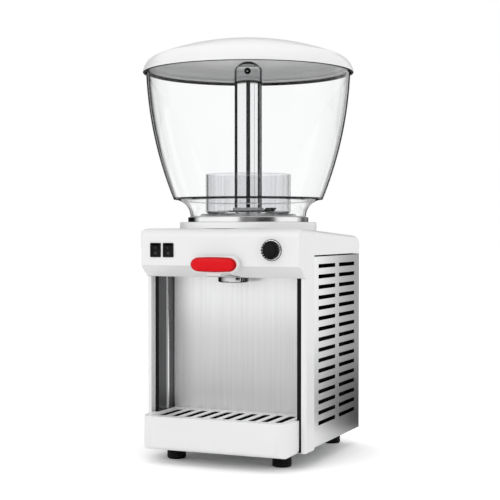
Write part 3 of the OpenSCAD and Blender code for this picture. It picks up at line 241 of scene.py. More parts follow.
def soften(piece, width, steps=3, angle=25):
    """Rounds the edges of a piece that are sharper than an angle."""
    bevel = piece.modifiers.new("soft_edges", "BEVEL")
    bevel.width = width
    bevel.segments = steps
    bevel.limit_method = "ANGLE"
    bevel.angle_limit = math.radians(angle)
    bevel.use_clamp_overlap = False
    bevel.harden_normals = True


def paint_light_on_faces(mesh, finish):
    """Paints light or shade on single faces by giving them another material, where finish names one
    for a face.

    A finish function takes a face to look a way when its normal goes that way by more than FACING.
    """
    for face in mesh.polygons:
        material = finish(face.center, face.normal)
        if material:
            if material.name not in mesh.materials:
                mesh.materials.append(material)
            face.material_index = mesh.materials.find(material.name)


def dressed(node, edge=0.0, sharp=35, material=None, cuts=(), finish=None, marks=None):
    """A merged, smooth-shaded copy of a node, with soft edges where a width is given.

    Each cut is a point and a direction of a plane that splits the faces, finish gives a face
    a material of painted light or shade or None, and marks adds small raised marks in the marks'
    own material.
    """
    bm = bmesh.new()
    bm.from_mesh(nodes[node].data)
    bmesh.ops.remove_doubles(bm, verts=bm.verts, dist=MERGE)
    flat = math.radians(FLAT_ANGLE)
    bmesh.ops.dissolve_limit(bm, angle_limit=flat, verts=bm.verts, edges=bm.edges)
    for point, direction in cuts:
        everything = bm.verts[:] + bm.edges[:] + bm.faces[:]
        bmesh.ops.bisect_plane(bm, geom=everything, plane_co=point, plane_no=direction)
    if marks:
        marks(bm)
    mesh = finished(node + "_finished", bm, sharp)
    mesh.materials.append(material or FINISHES[slot_of(node)])
    if marks:
        mesh.materials.append(MARK_PAINT)
    if finish:
        paint_light_on_faces(mesh, finish)
    piece = place(node + "_finished", mesh, node)
    if edge:
        soften(piece, edge, 2, 40)
    even = piece.modifiers.new("even_faces", "WEIGHTED_NORMAL")
    even.keep_sharp = True


# Repeated detail by geometry nodes

def node_tool(name, inputs):
    """An empty geometry tool with named inputs, its start and its end."""
    tree = bpy.data.node_groups.new(name, "GeometryNodeTree")
    sockets = tree.interface.new_socket
    sockets("Geometry", in_out="INPUT", socket_type="NodeSocketGeometry")
    for label, kind in inputs:
        sockets(label, in_out="INPUT", socket_type="NodeSocket" + kind)
    sockets("Geometry", in_out="OUTPUT", socket_type="NodeSocketGeometry")
    return tree, tree.nodes.new("NodeGroupInput"), tree.nodes.new("NodeGroupOutput")


def ended(tree, geometry, given, out, keep=None):
    """Ends a tool: joined to what is kept, real geometry in one material."""
    link = tree.links.new
    if keep:
        join = tree.nodes.new("GeometryNodeJoinGeometry")
        link(keep, join.inputs["Geometry"])
        link(geometry, join.inputs["Geometry"])
        geometry = join.outputs["Geometry"]
    real = tree.nodes.new("GeometryNodeRealizeInstances")
    coat = tree.nodes.new("GeometryNodeSetMaterial")
    link(geometry, real.inputs["Geometry"])
    link(real.outputs["Geometry"], coat.inputs["Geometry"])
    link(given.outputs["Material"], coat.inputs["Material"])
    link(coat.outputs["Geometry"], out.inputs["Geometry"])
    return tree


def ribs_tool():
    """Round upright ribs in a ring round a mesh."""
    tree, given, out = node_tool("ring_of_ribs", [
        ("Count", "Int"), ("Radius", "Float"), ("Rib Radius", "Float"), ("Rib Length", "Float"),
        ("Height", "Float"), ("Material", "Material"),
    ])
    link = tree.links.new
    ring = tree.nodes.new("GeometryNodeMeshCircle")
    rib = tree.nodes.new("GeometryNodeMeshCylinder")
    rib.inputs["Vertices"].default_value = RIB_SIDES
    lift = tree.nodes.new("ShaderNodeCombineXYZ")
    raised = tree.nodes.new("GeometryNodeTransform")
    spread = tree.nodes.new("GeometryNodeInstanceOnPoints")
    smooth = tree.nodes.new("GeometryNodeSetShadeSmooth")
    link(given.outputs["Count"], ring.inputs["Vertices"])
    link(given.outputs["Radius"], ring.inputs["Radius"])
    link(given.outputs["Rib Radius"], rib.inputs["Radius"])
    link(given.outputs["Rib Length"], rib.inputs["Depth"])
    link(given.outputs["Height"], lift.inputs["Z"])
    link(ring.outputs["Mesh"], raised.inputs["Geometry"])
    link(lift.outputs["Vector"], raised.inputs["Translation"])
    link(rib.outputs["Mesh"], smooth.inputs["Geometry"])
    link(raised.outputs["Geometry"], spread.inputs["Points"])
    link(smooth.outputs["Geometry"], spread.inputs["Instance"])
    return ended(tree, spread.outputs["Instances"], given, out, given.outputs["Geometry"])


def copies_tool():
    """One copy of a piece at each point of a mesh."""
    inputs = [("Piece", "Object"), ("Material", "Material")]
    tree, given, out = node_tool("copies_at_points", inputs)
    link = tree.links.new
    piece = tree.nodes.new("GeometryNodeObjectInfo")
    spread = tree.nodes.new("GeometryNodeInstanceOnPoints")
    link(given.outputs["Piece"], piece.inputs["Object"])
    link(given.outputs["Geometry"], spread.inputs["Points"])
    link(piece.outputs["Geometry"], spread.inputs["Instance"])
    return ended(tree, spread.outputs["Instances"], given, out)


def run_tool(tree, mesh, **values):
    """Runs a geometry tool on a mesh and returns the plain mesh it makes."""
    holder = bpy.data.objects.new("holder", mesh)
    scene.collection.objects.link(holder)
    step = holder.modifiers.new(tree.name, "NODES")
    step.node_group = tree
    for socket in tree.interface.items_tree:
        label = socket.name.replace(" ", "_").lower()
        if socket.in_out == "INPUT" and label in values:
            step[socket.identifier] = values[label]
    ready = holder.evaluated_get(bpy.context.evaluated_depsgraph_get())
    made = bpy.data.meshes.new_from_object(ready)
    holder.modifiers.remove(step)
    bpy.data.objects.remove(holder)
    made.set_sharp_from_angle(angle=math.radians(TOOL_SHARP))
    return made


def islands(mesh):
    """The boxes of the separate solids in a mesh."""
    bm = bmesh.new()
    bm.from_mesh(mesh)
    bmesh.ops.remove_doubles(bm, verts=bm.verts, dist=MERGE)
    left = set(bm.verts)
    boxes = []
    for first in bm.verts:
        if first not in left:
            continue
        left.remove(first)
        edge, found = [first], []
        while edge:
            vert = edge.pop()
            found.append(vert.co.copy())
            for link in vert.link_edges:
                other = link.other_vert(vert)
                if other in left:
                    left.remove(other)
                    edge.append(other)
        boxes.append((Vector(map(min, zip(*found))), Vector(map(max, zip(*found)))))
    bm.free()
    return boxes


RIBS = ribs_tool()
COPIES = copies_tool()


# Shader steps

def feed(tree, socket, value):
    """Links an input to another node's output, or sets it to a plain value."""
    if isinstance(value, bpy.types.NodeSocket):
        tree.links.new(value, socket)
    else:
        socket.default_value = value


def math_step(tree, operation, *values):
    step = tree.nodes.new("ShaderNodeMath")
    step.operation = operation
    for socket, value in zip(step.inputs, values):
        feed(tree, socket, value)
    return step.outputs[0]


def vector_step(tree, operation, *values):
    """A vector operation, whose second value is the factor where it scales."""
    step = tree.nodes.new("ShaderNodeVectorMath")
    step.operation = operation
    second = "Scale" if operation == "SCALE" else 1
    for label, value in zip((0, second), values):
        feed(tree, step.inputs[label], value)
    return step.outputs["Value" if operation in ("DOT_PRODUCT", "LENGTH") else "Vector"]


def range_step(tree, value, start, end, first, last, kind="LINEAR"):
    """A value moved from one range to another."""
    step = tree.nodes.new("ShaderNodeMapRange")
    step.interpolation_type = kind
    labels = ("Value", "From Min", "From Max", "To Min", "To Max")
    for label, given in zip(labels, (value, start, end, first, last)):
        feed(tree, step.inputs[label], given)
    return step.outputs["Result"]


def object_place(tree):
    return tree.nodes.new("ShaderNodeTexCoord").outputs["Object"]


def noise_step(tree, place_on, **values):
    step = tree.nodes.new("ShaderNodeTexNoise")
    feed(tree, step.inputs["Vector"], place_on)
    for label, value in values.items():
        feed(tree, step.inputs[label], value)
    return step.outputs["Fac"]


def swing(tree, noise, amount, middle_value):
    """A noise made to swing by an amount to both sides of a middle value."""
    centred = math_step(tree, "SUBTRACT", noise, 0.5)
    return math_step(tree, "MULTIPLY_ADD", centred, amount, middle_value)


# Shader groups

def shader_group(name, inputs, outputs):
    """An empty shader group with named sockets, the values given to it and its end."""
    tree = bpy.data.node_groups.new(name, "ShaderNodeTree")
    for in_out, sockets in (("INPUT", inputs), ("OUTPUT", outputs)):
        for label, kind in sockets.items():
            tree.interface.new_socket(label, in_out=in_out, socket_type="NodeSocket" + kind)
    given = tree.nodes.new("NodeGroupInput").outputs
    return tree, given, tree.nodes.new("NodeGroupOutput").inputs


def tone_drift_group():
    """A colour that drifts a little lighter and darker over the surface."""
    tree, given, out = shader_group(
        "tone_drift", {"Color": "Color", "Amount": "Float", "Scale": "Float"}, {"Color": "Color"}
    )
    noise = noise_step(tree, object_place(tree), Scale=given["Scale"], Detail=3)
    tone = swing(tree, noise, given["Amount"], 1)
    feed(tree, out["Color"], vector_step(tree, "SCALE", given["Color"], tone))
    return tree


def handling_group():
    """Roughness with faint wiping and handling marks."""
    tree, given, out = shader_group(
        "handling_marks", {"Roughness": "Float", "Spread": "Float", "Scale": "Float"},
        {"Roughness": "Float"},
    )
    noise = noise_step(tree, object_place(tree), Scale=given["Scale"], Detail=5, Distortion=0.6)
    feed(tree, out["Roughness"], swing(tree, noise, given["Spread"], given["Roughness"]))
    return tree


def grain_group():
    """Fine moulded or cast grain as a height."""
    tree, given, out = shader_group("surface_grain", {"Scale": "Float"}, {"Height": "Float"})
    noise = noise_step(tree, object_place(tree), Scale=given["Scale"], Detail=2)
    feed(tree, out["Height"], noise)
    return tree


def brushing_group():
    """Long fine lines of a brushed sheet: a tone round 1 and a height."""
    tree, given, out = shader_group(
        "brushing", {"Stretch": "Vector", "Amount": "Float"}, {"Tone": "Float", "Height": "Float"}
    )
    stretched = vector_step(tree, "MULTIPLY", object_place(tree), given["Stretch"])
    noise = noise_step(tree, stretched, Scale=1, Detail=4, Roughness=0.65)
    feed(tree, out["Tone"], swing(tree, noise, given["Amount"], 1))
    feed(tree, out["Height"], noise)
    return tree


def painted_shading_group():
    """Painted light or shade: a tone that goes from one level to another along a direction of the
    object.
    """
    ends = ("Start", "End", "From", "To")
    tree, given, out = shader_group(
        "fade_along", {"Direction": "Vector", **dict.fromkeys(ends, "Float")}, {"Tone": "Float"}
    )
    along = vector_step(tree, "DOT_PRODUCT", object_place(tree), given["Direction"])
    fade = range_step(tree, along, *(given[label] for label in ends), kind="SMOOTHSTEP")
    feed(tree, out["Tone"], fade)
    return tree


TONE_DRIFT = tone_drift_group()
HANDLING = handling_group()
GRAIN = grain_group()
BRUSHING = brushing_group()
PAINTED_SHADING = painted_shading_group()


# Finishes

BLACK = (0.008, 0.008, 0.009)
EDGE_BLACK = (0.002, 0.002, 0.003)
BRIGHT_STEEL = (0.9, 0.902, 0.906)
SHEET_STEEL = (0.76, 0.762, 0.766)
BACKWARDS = (0, 1, 0)
UPWARDS = (0, 0, 1)
CLEAR_IOR = 1.22
GRAIN_DEPTH = 0.2 * MM
BRUSH_DEPTH = 0.1 * MM


def new_material(name):
    """A material, its node tree and the inputs of its shader."""
    material = bpy.data.materials.new(name)
    material.use_nodes = True
    tree = material.node_tree
    return material, tree, tree.nodes["Principled BSDF"].inputs


def set_values(inputs, **values):
    """Sets inputs of a shader, named with _ for each space."""
    for label, value in values.items():
        inputs[label.replace("_", " ")].default_value = value


def grouped(tree, group, **values):
    """Places a shader group in a material with its own values and gives its outputs."""
    node = tree.nodes.new("ShaderNodeGroup")
    node.node_tree = group
    set_values(node.inputs, **values)
    return node.outputs


def bumped(tree, inputs, height, strength, distance):
    """Gives a shader a bump from a height."""
    bump = tree.nodes.new("ShaderNodeBump")
    set_values(bump.inputs, Strength=strength, Distance=distance)
    feed(tree, bump.inputs["Height"], height)
    feed(tree, inputs["Normal"], bump.outputs["Normal"])


def painted_edge_shade(tree, colour, edge_colour, edge_start, edge_end):
    """Painted shade: a colour that turns into another where the surface is seen edge on."""
    facing = tree.nodes.new("ShaderNodeLayerWeight")
    facing.inputs["Blend"].default_value = 0.5
    ramp = tree.nodes.new("ShaderNodeValToRGB")
    for k, (position, shade) in enumerate(((edge_start, colour), (edge_end, edge_colour))):
        ramp.color_ramp.elements[k].position = position
        ramp.color_ramp.elements[k].color = (*shade, 1)
    feed(tree, ramp.inputs["Fac"], facing.outputs["Facing"])
    return ramp.outputs["Color"]


def surface(name, colour, roughness, metallic=0.0, drift=0.03, drift_scale=8, spread=0.1,
            marks_scale=14, grain=600, depth=0.02, specular=0.5):
    """A material with drifting tone, handling marks and fine grain, and its shader's inputs."""
    material, tree, inputs = new_material(name)
    set_values(inputs, Metallic=metallic, Specular_IOR_Level=specular)
    tone = grouped(tree, TONE_DRIFT, Color=(*colour, 1), Amount=drift, Scale=drift_scale)
    marks = grouped(tree, HANDLING, Roughness=roughness, Spread=spread, Scale=marks_scale)
    feed(tree, inputs["Base Color"], tone["Color"])
    feed(tree, inputs["Roughness"], marks["Roughness"])
    bumped(tree, inputs, grouped(tree, GRAIN, Scale=grain)["Height"], depth, GRAIN_DEPTH)
    return material, inputs


def plain(name, colour, roughness, metallic=0.0, **more):
    return surface(name, colour, roughness, metallic, **more)[0]


def white_moulding():
    material, inputs = surface("white_moulding", (0.81, 0.81, 0.812), 0.32,
                               drift=0.02, spread=0.08, depth=0.015)
    set_values(inputs, Coat_Weight=0.1, Coat_Roughness=0.12)
    return material


def red_moulding(name, colour):
    material, inputs = surface(name, colour, 0.26, drift=0.05, spread=0.08, depth=0.01,
                               specular=0.1)
    set_values(inputs, Coat_Weight=0.05, Coat_Roughness=0.1)
    return material


def polished_steel(name, roughness, colour=BRIGHT_STEEL, edge_start=0.4, edge_end=0.56):
    """Polished stainless with painted shade that darkens it where it is seen edge on."""
    material, inputs = surface(name, colour, roughness, 1.0, spread=0.06, marks_scale=30,
                               grain=1500, depth=0.004)
    tree = material.node_tree
    tone = inputs["Base Color"].links[0].from_socket
    shade = painted_edge_shade(tree, (1, 1, 1), (0.05, 0.05, 0.052), edge_start, edge_end)
    feed(tree, inputs["Base Color"], vector_step(tree, "MULTIPLY", tone, shade))
    return material


def painted_fade(direction, start, end, first, last):
    """The values of painted light or shade: a tone that goes from first to last between two places
    along a direction.
    """
    return {"Direction": direction, "Start": start, "End": end, "From": first, "To": last}


def brushed(name, colour, roughness, stretch, amount, depth, fade=None, metallic=1.0):
    """Stainless sheet with brushing along one direction, and painted light or shade that can fade
    its tone along another.
    """
    material, tree, inputs = new_material(name)
    set_values(inputs, Metallic=metallic)
    tone = grouped(tree, TONE_DRIFT, Color=(*colour, 1), Amount=0.06, Scale=5)
    lines = grouped(tree, BRUSHING, Stretch=stretch, Amount=amount)
    marks = grouped(tree, HANDLING, Roughness=roughness, Spread=0.08, Scale=9)
    level = lines["Tone"]
    if fade:
        level = math_step(tree, "MULTIPLY", level, grouped(tree, PAINTED_SHADING, **fade)["Tone"])
    feed(tree, inputs["Base Color"], vector_step(tree, "SCALE", tone["Color"], level))
    feed(tree, inputs["Roughness"], marks["Roughness"])
    bumped(tree, inputs, lines["Height"], depth, BRUSH_DEPTH)
    return material


def clear_moulding(name, colour, edge_colour, edge_start, edge_end, streaks=0.0):
    """Clear plastic with painted shade that darkens it where it is seen edge on, and faint upright
    streaks.
    """
    material, tree, inputs = new_material(name)
    set_values(inputs, Transmission_Weight=1.0, IOR=CLEAR_IOR)
    marks = grouped(tree, HANDLING, Roughness=0.015, Spread=0.02, Scale=20)
    shade = painted_edge_shade(tree, colour, edge_colour, edge_start, edge_end)
    lines = grouped(tree, BRUSHING, Stretch=(160, 160, 3), Amount=streaks)
    feed(tree, inputs["Base Color"], vector_step(tree, "SCALE", shade, lines["Tone"]))
    feed(tree, inputs["Roughness"], marks["Roughness"])
    return material


FINISHES = {
    "white_plastic": white_moulding(),
    "polished_steel": polished_steel("polished_stainless", 0.06),
    # Painted shade: this sheet's tone darkens towards the back.
    "brushed_steel": brushed("brushed_stainless", SHEET_STEEL, 0.34, (500, 500, 8), 0.06, 0.02,
                             painted_fade(BACKWARDS, -0.1, 0.16, 1.1, 0.75)),
    "folded_steel": plain("plated_sheet", (0.56, 0.57, 0.58), 0.38, 1.0, drift=0.12, grain=400),
    "black_plastic": plain("black_moulding", BLACK, 0.4, drift=0.3, grain=1200, depth=0.06,
                           specular=0.1),
    "black_rubber": plain("black_foot_rubber", BLACK, 0.6, drift=0.4, grain=900, depth=0.12,
                          specular=0.1),
    "clear_plastic": clear_moulding("clear_bowl_plastic", (0.985, 0.988, 0.99), EDGE_BLACK,
                                    0.7, 0.83),
    "red_plastic": red_moulding("red_moulding", (0.69, 0.005, 0.01)),
    "seal_rubber": plain("pale_seal_rubber", (0.62, 0.62, 0.61), 0.6, grain=700, depth=0.08),
    "foam": plain("cut_foam", (0.72, 0.62, 0.36), 0.9, drift=0.25, drift_scale=60, grain=220,
                  depth=0.5),
    "copper": plain("drawn_copper", (0.74, 0.40, 0.26), 0.28, 1.0, drift=0.2, drift_scale=25),
    "fins": plain("blackened_fins", (0.02, 0.02, 0.021), 0.5, drift=0.3, specular=0.2),
    "black_paint": plain("black_enamel", (0.014, 0.014, 0.015), 0.32, drift=0.3, depth=0.04),
    "motor_case": plain("motor_enamel", (0.26, 0.27, 0.29), 0.42, drift=0.12, depth=0.05),
    "magnet": plain("sintered_magnet", (0.13, 0.13, 0.135), 0.55, 0.6, drift=0.25, grain=350,
                    depth=0.2),
}
# Painted shade: near-black for inside faces, hidden sides and narrow gaps where shade falls.
PAINTED_SHADE = plain("dark_inside", BLACK, 0.6, drift=0.3, specular=0.1)
GUARD_PLASTIC = clear_moulding("clear_guard_plastic", (0.85, 0.853, 0.863), (0.004, 0.004, 0.005),
                               0.7, 0.84, 0.5)
# Painted shade: dark clear plastic for the lines where the bowl's shoulder and the guard's rim look
# dark.
CLEAR_PAINTED_SHADE = clear_moulding("dark_clear_edge", (0.03, 0.03, 0.035), EDGE_BLACK, 0.5, 0.8)
DISH_STEEL = polished_steel("softly_polished_stainless", 0.2)
# Painted reflection: a darker chrome tone that darkens broadly where seen edge on stands in for
# dark surroundings mirrored in the spout.
SPOUT_STEEL = polished_steel("dark_chrome", 0.1, (0.6, 0.602, 0.605), 0.1, 0.4)
RED_PAINTED_SHADE = red_moulding("red_rounded_edge", (0.42, 0.003, 0.006))
MARK_PAINT = plain("grey_mark_paint", (0.11, 0.11, 0.112), 0.5)
# Painted light: the bay's back wall is made brighter towards the top.
LINER_STEEL = brushed("brushed_liner", (0.76, 0.761, 0.763), 0.3, (420, 420, 5), 0.3, 0.05,
                      painted_fade(UPWARDS, 0.19, 0.285, 0.98, 1.26), 0.6)
# Painted reflection: dark polished steel for the bay's side walls, and bright polished steel for
# painted highlights on the groove and left lip.
LINER_PAINTED_DARK = plain("dark_polished_steel", (0.13, 0.132, 0.135), 0.1, 1.0, drift=0.25, drift_scale=3,
                   spread=0.05)
LINER_PAINTED_HIGHLIGHT = plain("bright_polished_steel", (0.85, 0.852, 0.856), 0.12, 1.0, spread=0.05)
# Painted shade: the side panels' tone darkens strongly towards the back.
PANEL_STEEL = brushed("brushed_side_panel", SHEET_STEEL, 0.34, (500, 500, 8), 0.06, 0.02,
                      painted_fade(BACKWARDS, -0.1, 0.16, 1.3, 0.45))
GRILLE_STEEL = brushed("bright_grille", (0.9, 0.902, 0.905), 0.38, (10, 900, 900), 0.1, 0.04,
                       metallic=0.4)
CAD_SLOTS = {name: node.data.materials[0].name.split(".")[0] for name, node in nodes.items()}
for name, node in nodes.items():
    node.material_slots[0].material = FINISHES[CAD_SLOTS[name]]


# Bowl, lid and cold side

def bowl():
    """Clear bowl: neck, cove, shoulder and one long curved side up to a rounded rim, with a painted
    shade line round the outside of the shoulder.
    """
    neck_low = low("bowl").z
    rim = (high("bowl").x, high("bowl").z)
    cove_centre = (BOWL_NECK_R + BOWL_COVE, neck_low)
    shoulder = (cove_centre[0], neck_low + BOWL_COVE)
    chord = Vector(rim) - Vector(shoulder)
    lift = math.sqrt(BOWL_SIDE_ARC ** 2 - chord.length_squared / 4)
    inwards = Vector((-chord.y, chord.x)).normalized()
    centre = (Vector(rim) + Vector(shoulder)) / 2 + lift * inwards
    inner = BOWL_SIDE_ARC - BOWL_WALL
    cove_out = BOWL_COVE + BOWL_WALL
    inner_rim = (centre.x + math.sqrt(inner ** 2 - (rim[1] - centre.y) ** 2), rim[1])
    inner_foot = (shoulder[0] - BOWL_WALL, neck_low + math.sqrt(cove_out ** 2 - BOWL_WALL ** 2))
    line_end = angle_at(centre, shoulder) + math.degrees(BOWL_LINE / BOWL_SIDE_ARC)
    outline = arc(cove_centre, BOWL_COVE, 180, 90, 16)
    outline += arc(centre, BOWL_SIDE_ARC, line_end, angle_at(centre, rim), 32)
    outline += arc(centre, inner, angle_at(centre, inner_rim), angle_at(centre, inner_foot), 32)
    outline += arc(cove_centre, cove_out, angle_at(cove_centre, inner_foot), 180, 16)[1:]
    mesh = turned("bowl_moulding", outline, sides=192)
    mesh.materials.append(FINISHES["clear_plastic"])
    line_top = shoulder[1] + BOWL_LINE

    # Painted shade: a dark band on the outer faces just above the shoulder.
    def shoulder_line(at, normal):
        outside = math.hypot(at.x, at.y) > shoulder[0] - 1 * MM
        return CLEAR_PAINTED_SHADE if outside and shoulder[1] < at.z < line_top else None

    paint_light_on_faces(mesh, shoulder_line)
    soften(place("bowl_moulding", mesh, "bowl"), 0.6 * MM)


def lid():
    """White domed lid with a seat for the bowl's rim and a deflector over the column."""
    seat_gap, bore_gap, column_gap = 0.3 * MM, 1 * MM, 5 * MM
    lip, sunk = 1.4 * MM, 0.5 * MM
    line_h, line_near = 0.8 * MM, 0.5 * MM
    rim_r, rim_z = high("bowl").x, high("bowl").z
    radius, top, foot = rim_r + LID_OVERHANG, high("lid").z, low("lid").z
    dome = (0, top - LID_DOME_ARC)
    edge_x = radius - LID_EDGE_ARC
    edge = (edge_x, dome[1] + math.sqrt((LID_DOME_ARC - LID_EDGE_ARC) ** 2 - edge_x ** 2))
    turn = angle_at(dome, edge)
    seat = rim_z + seat_gap
    seat_in = rim_r - LID_SEAT_W
    seat_top = seat + LID_WALL
    inner_edge = LID_EDGE_ARC - LID_WALL
    inner_turn = math.degrees(math.asin((seat_top - edge[1]) / inner_edge))
    start = math.degrees(math.asin((foot + lip - edge[1]) / LID_EDGE_ARC))
    skirt_r = edge[0] + LID_EDGE_ARC * math.cos(math.radians(start))
    bore = rim_r + bore_gap
    outline = [(bore, seat), (bore, foot)]
    outline += arc((skirt_r - lip, foot + lip), lip, -90, -12, 5)
    outline += arc(edge, LID_EDGE_ARC, start, turn, 20)
    outline += arc(dome, LID_DOME_ARC, turn, 90, 24)[1:]
    outline += arc(dome, LID_DOME_ARC - LID_WALL, 90, turn, 24)
    outline += arc(edge, inner_edge, turn, inner_turn, 20)[1:]
    outline += [(seat_in, seat_top), (seat_in, seat)]
    roof = dome[1] + LID_DOME_ARC - LID_WALL / 2 - sunk
    drop = high("riser_column").z + column_gap
    tube_in = LID_DEFLECTOR_R - LID_WALL
    deflector = [(LID_DEFLECTOR_R, drop), (LID_DEFLECTOR_R, roof), (tube_in, roof), (tube_in, drop)]
    mesh = turned("lid_moulding", outline, deflector, sides=192)
    mesh.materials.append(FINISHES["white_plastic"])

    # Painted shadow: the lid's lowest band and the bore faces near the rim are made dark.
    def shadow_line(at, normal):
        inside = abs(math.hypot(at.x, at.y) - bore) < line_near and at.z < seat
        return PAINTED_SHADE if inside or at.z < foot + line_h else None

    paint_light_on_faces(mesh, shadow_line)
    place("lid_moulding", mesh, "lid")


def column():
    """Polished tube with a domed cap."""
    radius = high("riser_column").x
    foot, top = low("riser_column").z, high("riser_column").z
    cap = (radius ** 2 + COLUMN_CAP_H ** 2) / (2 * COLUMN_CAP_H)
    centre = (0, top - cap)
    outline = [(0, foot), (radius, foot)]
    outline += arc(centre, cap, angle_at(centre, (radius, top - COLUMN_CAP_H)), 90, 12)
    soften(place("column_tube", turned("column_tube", outline), "riser_column"), 2.5 * MM, 4)


def dish():
    """Stainless dish: polished rim, raised middle and the drum below."""
    radius, floor_z = high("evaporator_dish").x, high("evaporator_dish").z
    drum_foot = low("evaporator_dish").z
    top = floor_z - DISH_RISE
    rim_foot = top - DISH_RIM_H
    t = DISH_SHEET
    drum_in = DRUM_R - t
    outline = [
        (0, floor_z - t), (DISH_FLAT_R - t / 2, floor_z - t), (drum_in, top - t - 1 * MM),
        (drum_in, drum_foot), (DRUM_R, drum_foot), (DRUM_R, top - t), (radius - t, top - t),
        (radius - t, rim_foot), (radius, rim_foot), (radius, top), (DRUM_R - 2 * MM, top),
        (DISH_FLAT_R, floor_z), (0, floor_z),
    ]
    mesh = turned("dish_pressing", outline)
    mesh.materials.append(DISH_STEEL)
    soften(place("dish_pressing", mesh, "evaporator_dish"), 0.5 * MM)


def guard():
    """Clear cup round the foot of the column, with a painted shade line along its rim."""
    radius = high("flow_guard").x
    foot, top = low("flow_guard").z, high("flow_guard").z
    rim_line = top - GUARD_LINE
    corner = (radius - GUARD_EDGE, foot + GUARD_EDGE)
    outline = [(GUARD_HOLE_R, foot)]
    outline += arc(corner, GUARD_EDGE, -90, 0, 8)
    outline += [(radius, top), (radius - GUARD_WALL, top)]
    outline += arc(corner, GUARD_EDGE - GUARD_WALL, 0, -90, 8)
    outline += [(GUARD_HOLE_R, foot + GUARD_WALL)]
    mesh = turned("guard_cup", outline, sides=128)
    mesh.materials.append(GUARD_PLASTIC)
    paint_light_on_faces(mesh, lambda at, normal: CLEAR_PAINTED_SHADE if at.z > rim_line else None)
    soften(place("guard_cup", mesh, "flow_guard"), 0.6 * MM)


bowl()
lid()
column()
dish()
guard()
for node in ("top_collar", "column_nozzle", "impeller", "impeller_bush", "bowl_gasket"):
    dressed(node, sharp=30)


# Tap, controls and feet

def feet():
    """Rubber feet with moulded grooves round them."""
    for node in ("foot_front_left", "foot_front_right", "foot_rear_left", "foot_rear_right"):
        centre, height = middle(node), high(node).z
        radius = high(node).x - centre.x
        outline = [(0, 0)]
        outline += arc((radius - FOOT_EDGE, FOOT_EDGE), FOOT_EDGE, -90, 0, 8)
        for k in range(FOOT_GROOVES):
            z = FOOT_EDGE + (height - 2 * FOOT_EDGE) * (k + 1) / (FOOT_GROOVES + 1)
            outline += arc((radius, z), FOOT_GROOVE_R, -90, -270, 6)
        outline += [(radius, height), (0, height)]
        name = node + "_rubber"
        place(name, turned(name, outline, axis=(centre.x, centre.y), sides=72, sharp=50), node)


def spout():
    """Polished round spout with an outlet hole."""
    foot, top = low("spout").z, high("spout").z
    centre = middle("spout")
    radius = high("spout").x
    outline = [(SPOUT_BORE_R, top), (SPOUT_BORE_R, foot)]
    outline += arc((radius - SPOUT_EDGE, foot + SPOUT_EDGE), SPOUT_EDGE, -90, 0, 8)
    outline += [(radius, top)]
    mesh = turned("spout_turning", outline, axis=(centre.x, centre.y), sides=96)
    mesh.materials.append(SPOUT_STEEL)
    soften(place("spout_turning", mesh, "spout"), 0.4 * MM, 2, 40)


def pill_points(half_w, half_h, bow, steps=16):
    """Points round an outline with round ends and bowed long edges."""
    straight = max(half_w - half_h, 0.1 * MM)
    points = arc((straight, 0), half_h, -90, 90, steps)
    points += [(straight * (1 - 2 * i / steps), half_h) for i in range(1, steps)]
    points += arc((-straight, 0), half_h, 90, 270, steps)
    points += [(straight * (2 * i / steps - 1), -half_h) for i in range(1, steps)]
    return [(x, z * (1 - bow * (x / half_w) ** 2)) for x, z in points]


def grip():
    """Red grip: a soft cushion with swept ends and a slightly crowned front."""
    centre = middle("lever_grip")
    size = high("lever_grip") - low("lever_grip")
    # Share of the depth, and how far the ends and the long edges draw in, in millimetres
    layers = (
        (0.0, 0.0, 0.0), (0.3, 0.2, 0.1), (0.55, 1.0, 0.5), (0.75, 2.6, 1.2), (0.88, 4.8, 2.0),
        (0.96, 7.2, 2.9), (1.0, 9.6, 3.9), (1.04, 14.0, 6.0), (1.07, 20.0, 8.6), (1.08, 27.0, 10.8),
    )
    bm = bmesh.new()
    rings = []
    for share, end, edge in layers:
        y = high("lever_grip").y - share * size.y
        outline = pill_points(size.x / 2 - end * MM, size.z / 2 - edge * MM, GRIP_BOW)
        rings.append([bm.verts.new((centre.x + x, y, centre.z + z)) for x, z in outline])
    skin(bm, rings)
    mesh = finished("grip_cushion", bm, 60)
    mesh.materials.append(FINISHES["red_plastic"])
    # Painted shade: faces of the rounded edges that turn away from the front are given a darker
    # red.
    paint_light_on_faces(mesh, lambda at, normal: RED_PAINTED_SHADE if GRIP_SHADED_TILT[0] < normal.y < GRIP_SHADED_TILT[1] else None)
    place("grip_cushion", mesh, "lever_grip")


def face_front(mesh, at):
    """Turns an upright turning so that its top faces the front."""
    mesh.transform(Matrix.Translation(at) @ Matrix.Rotation(math.radians(90), 4, "X"))
    return mesh


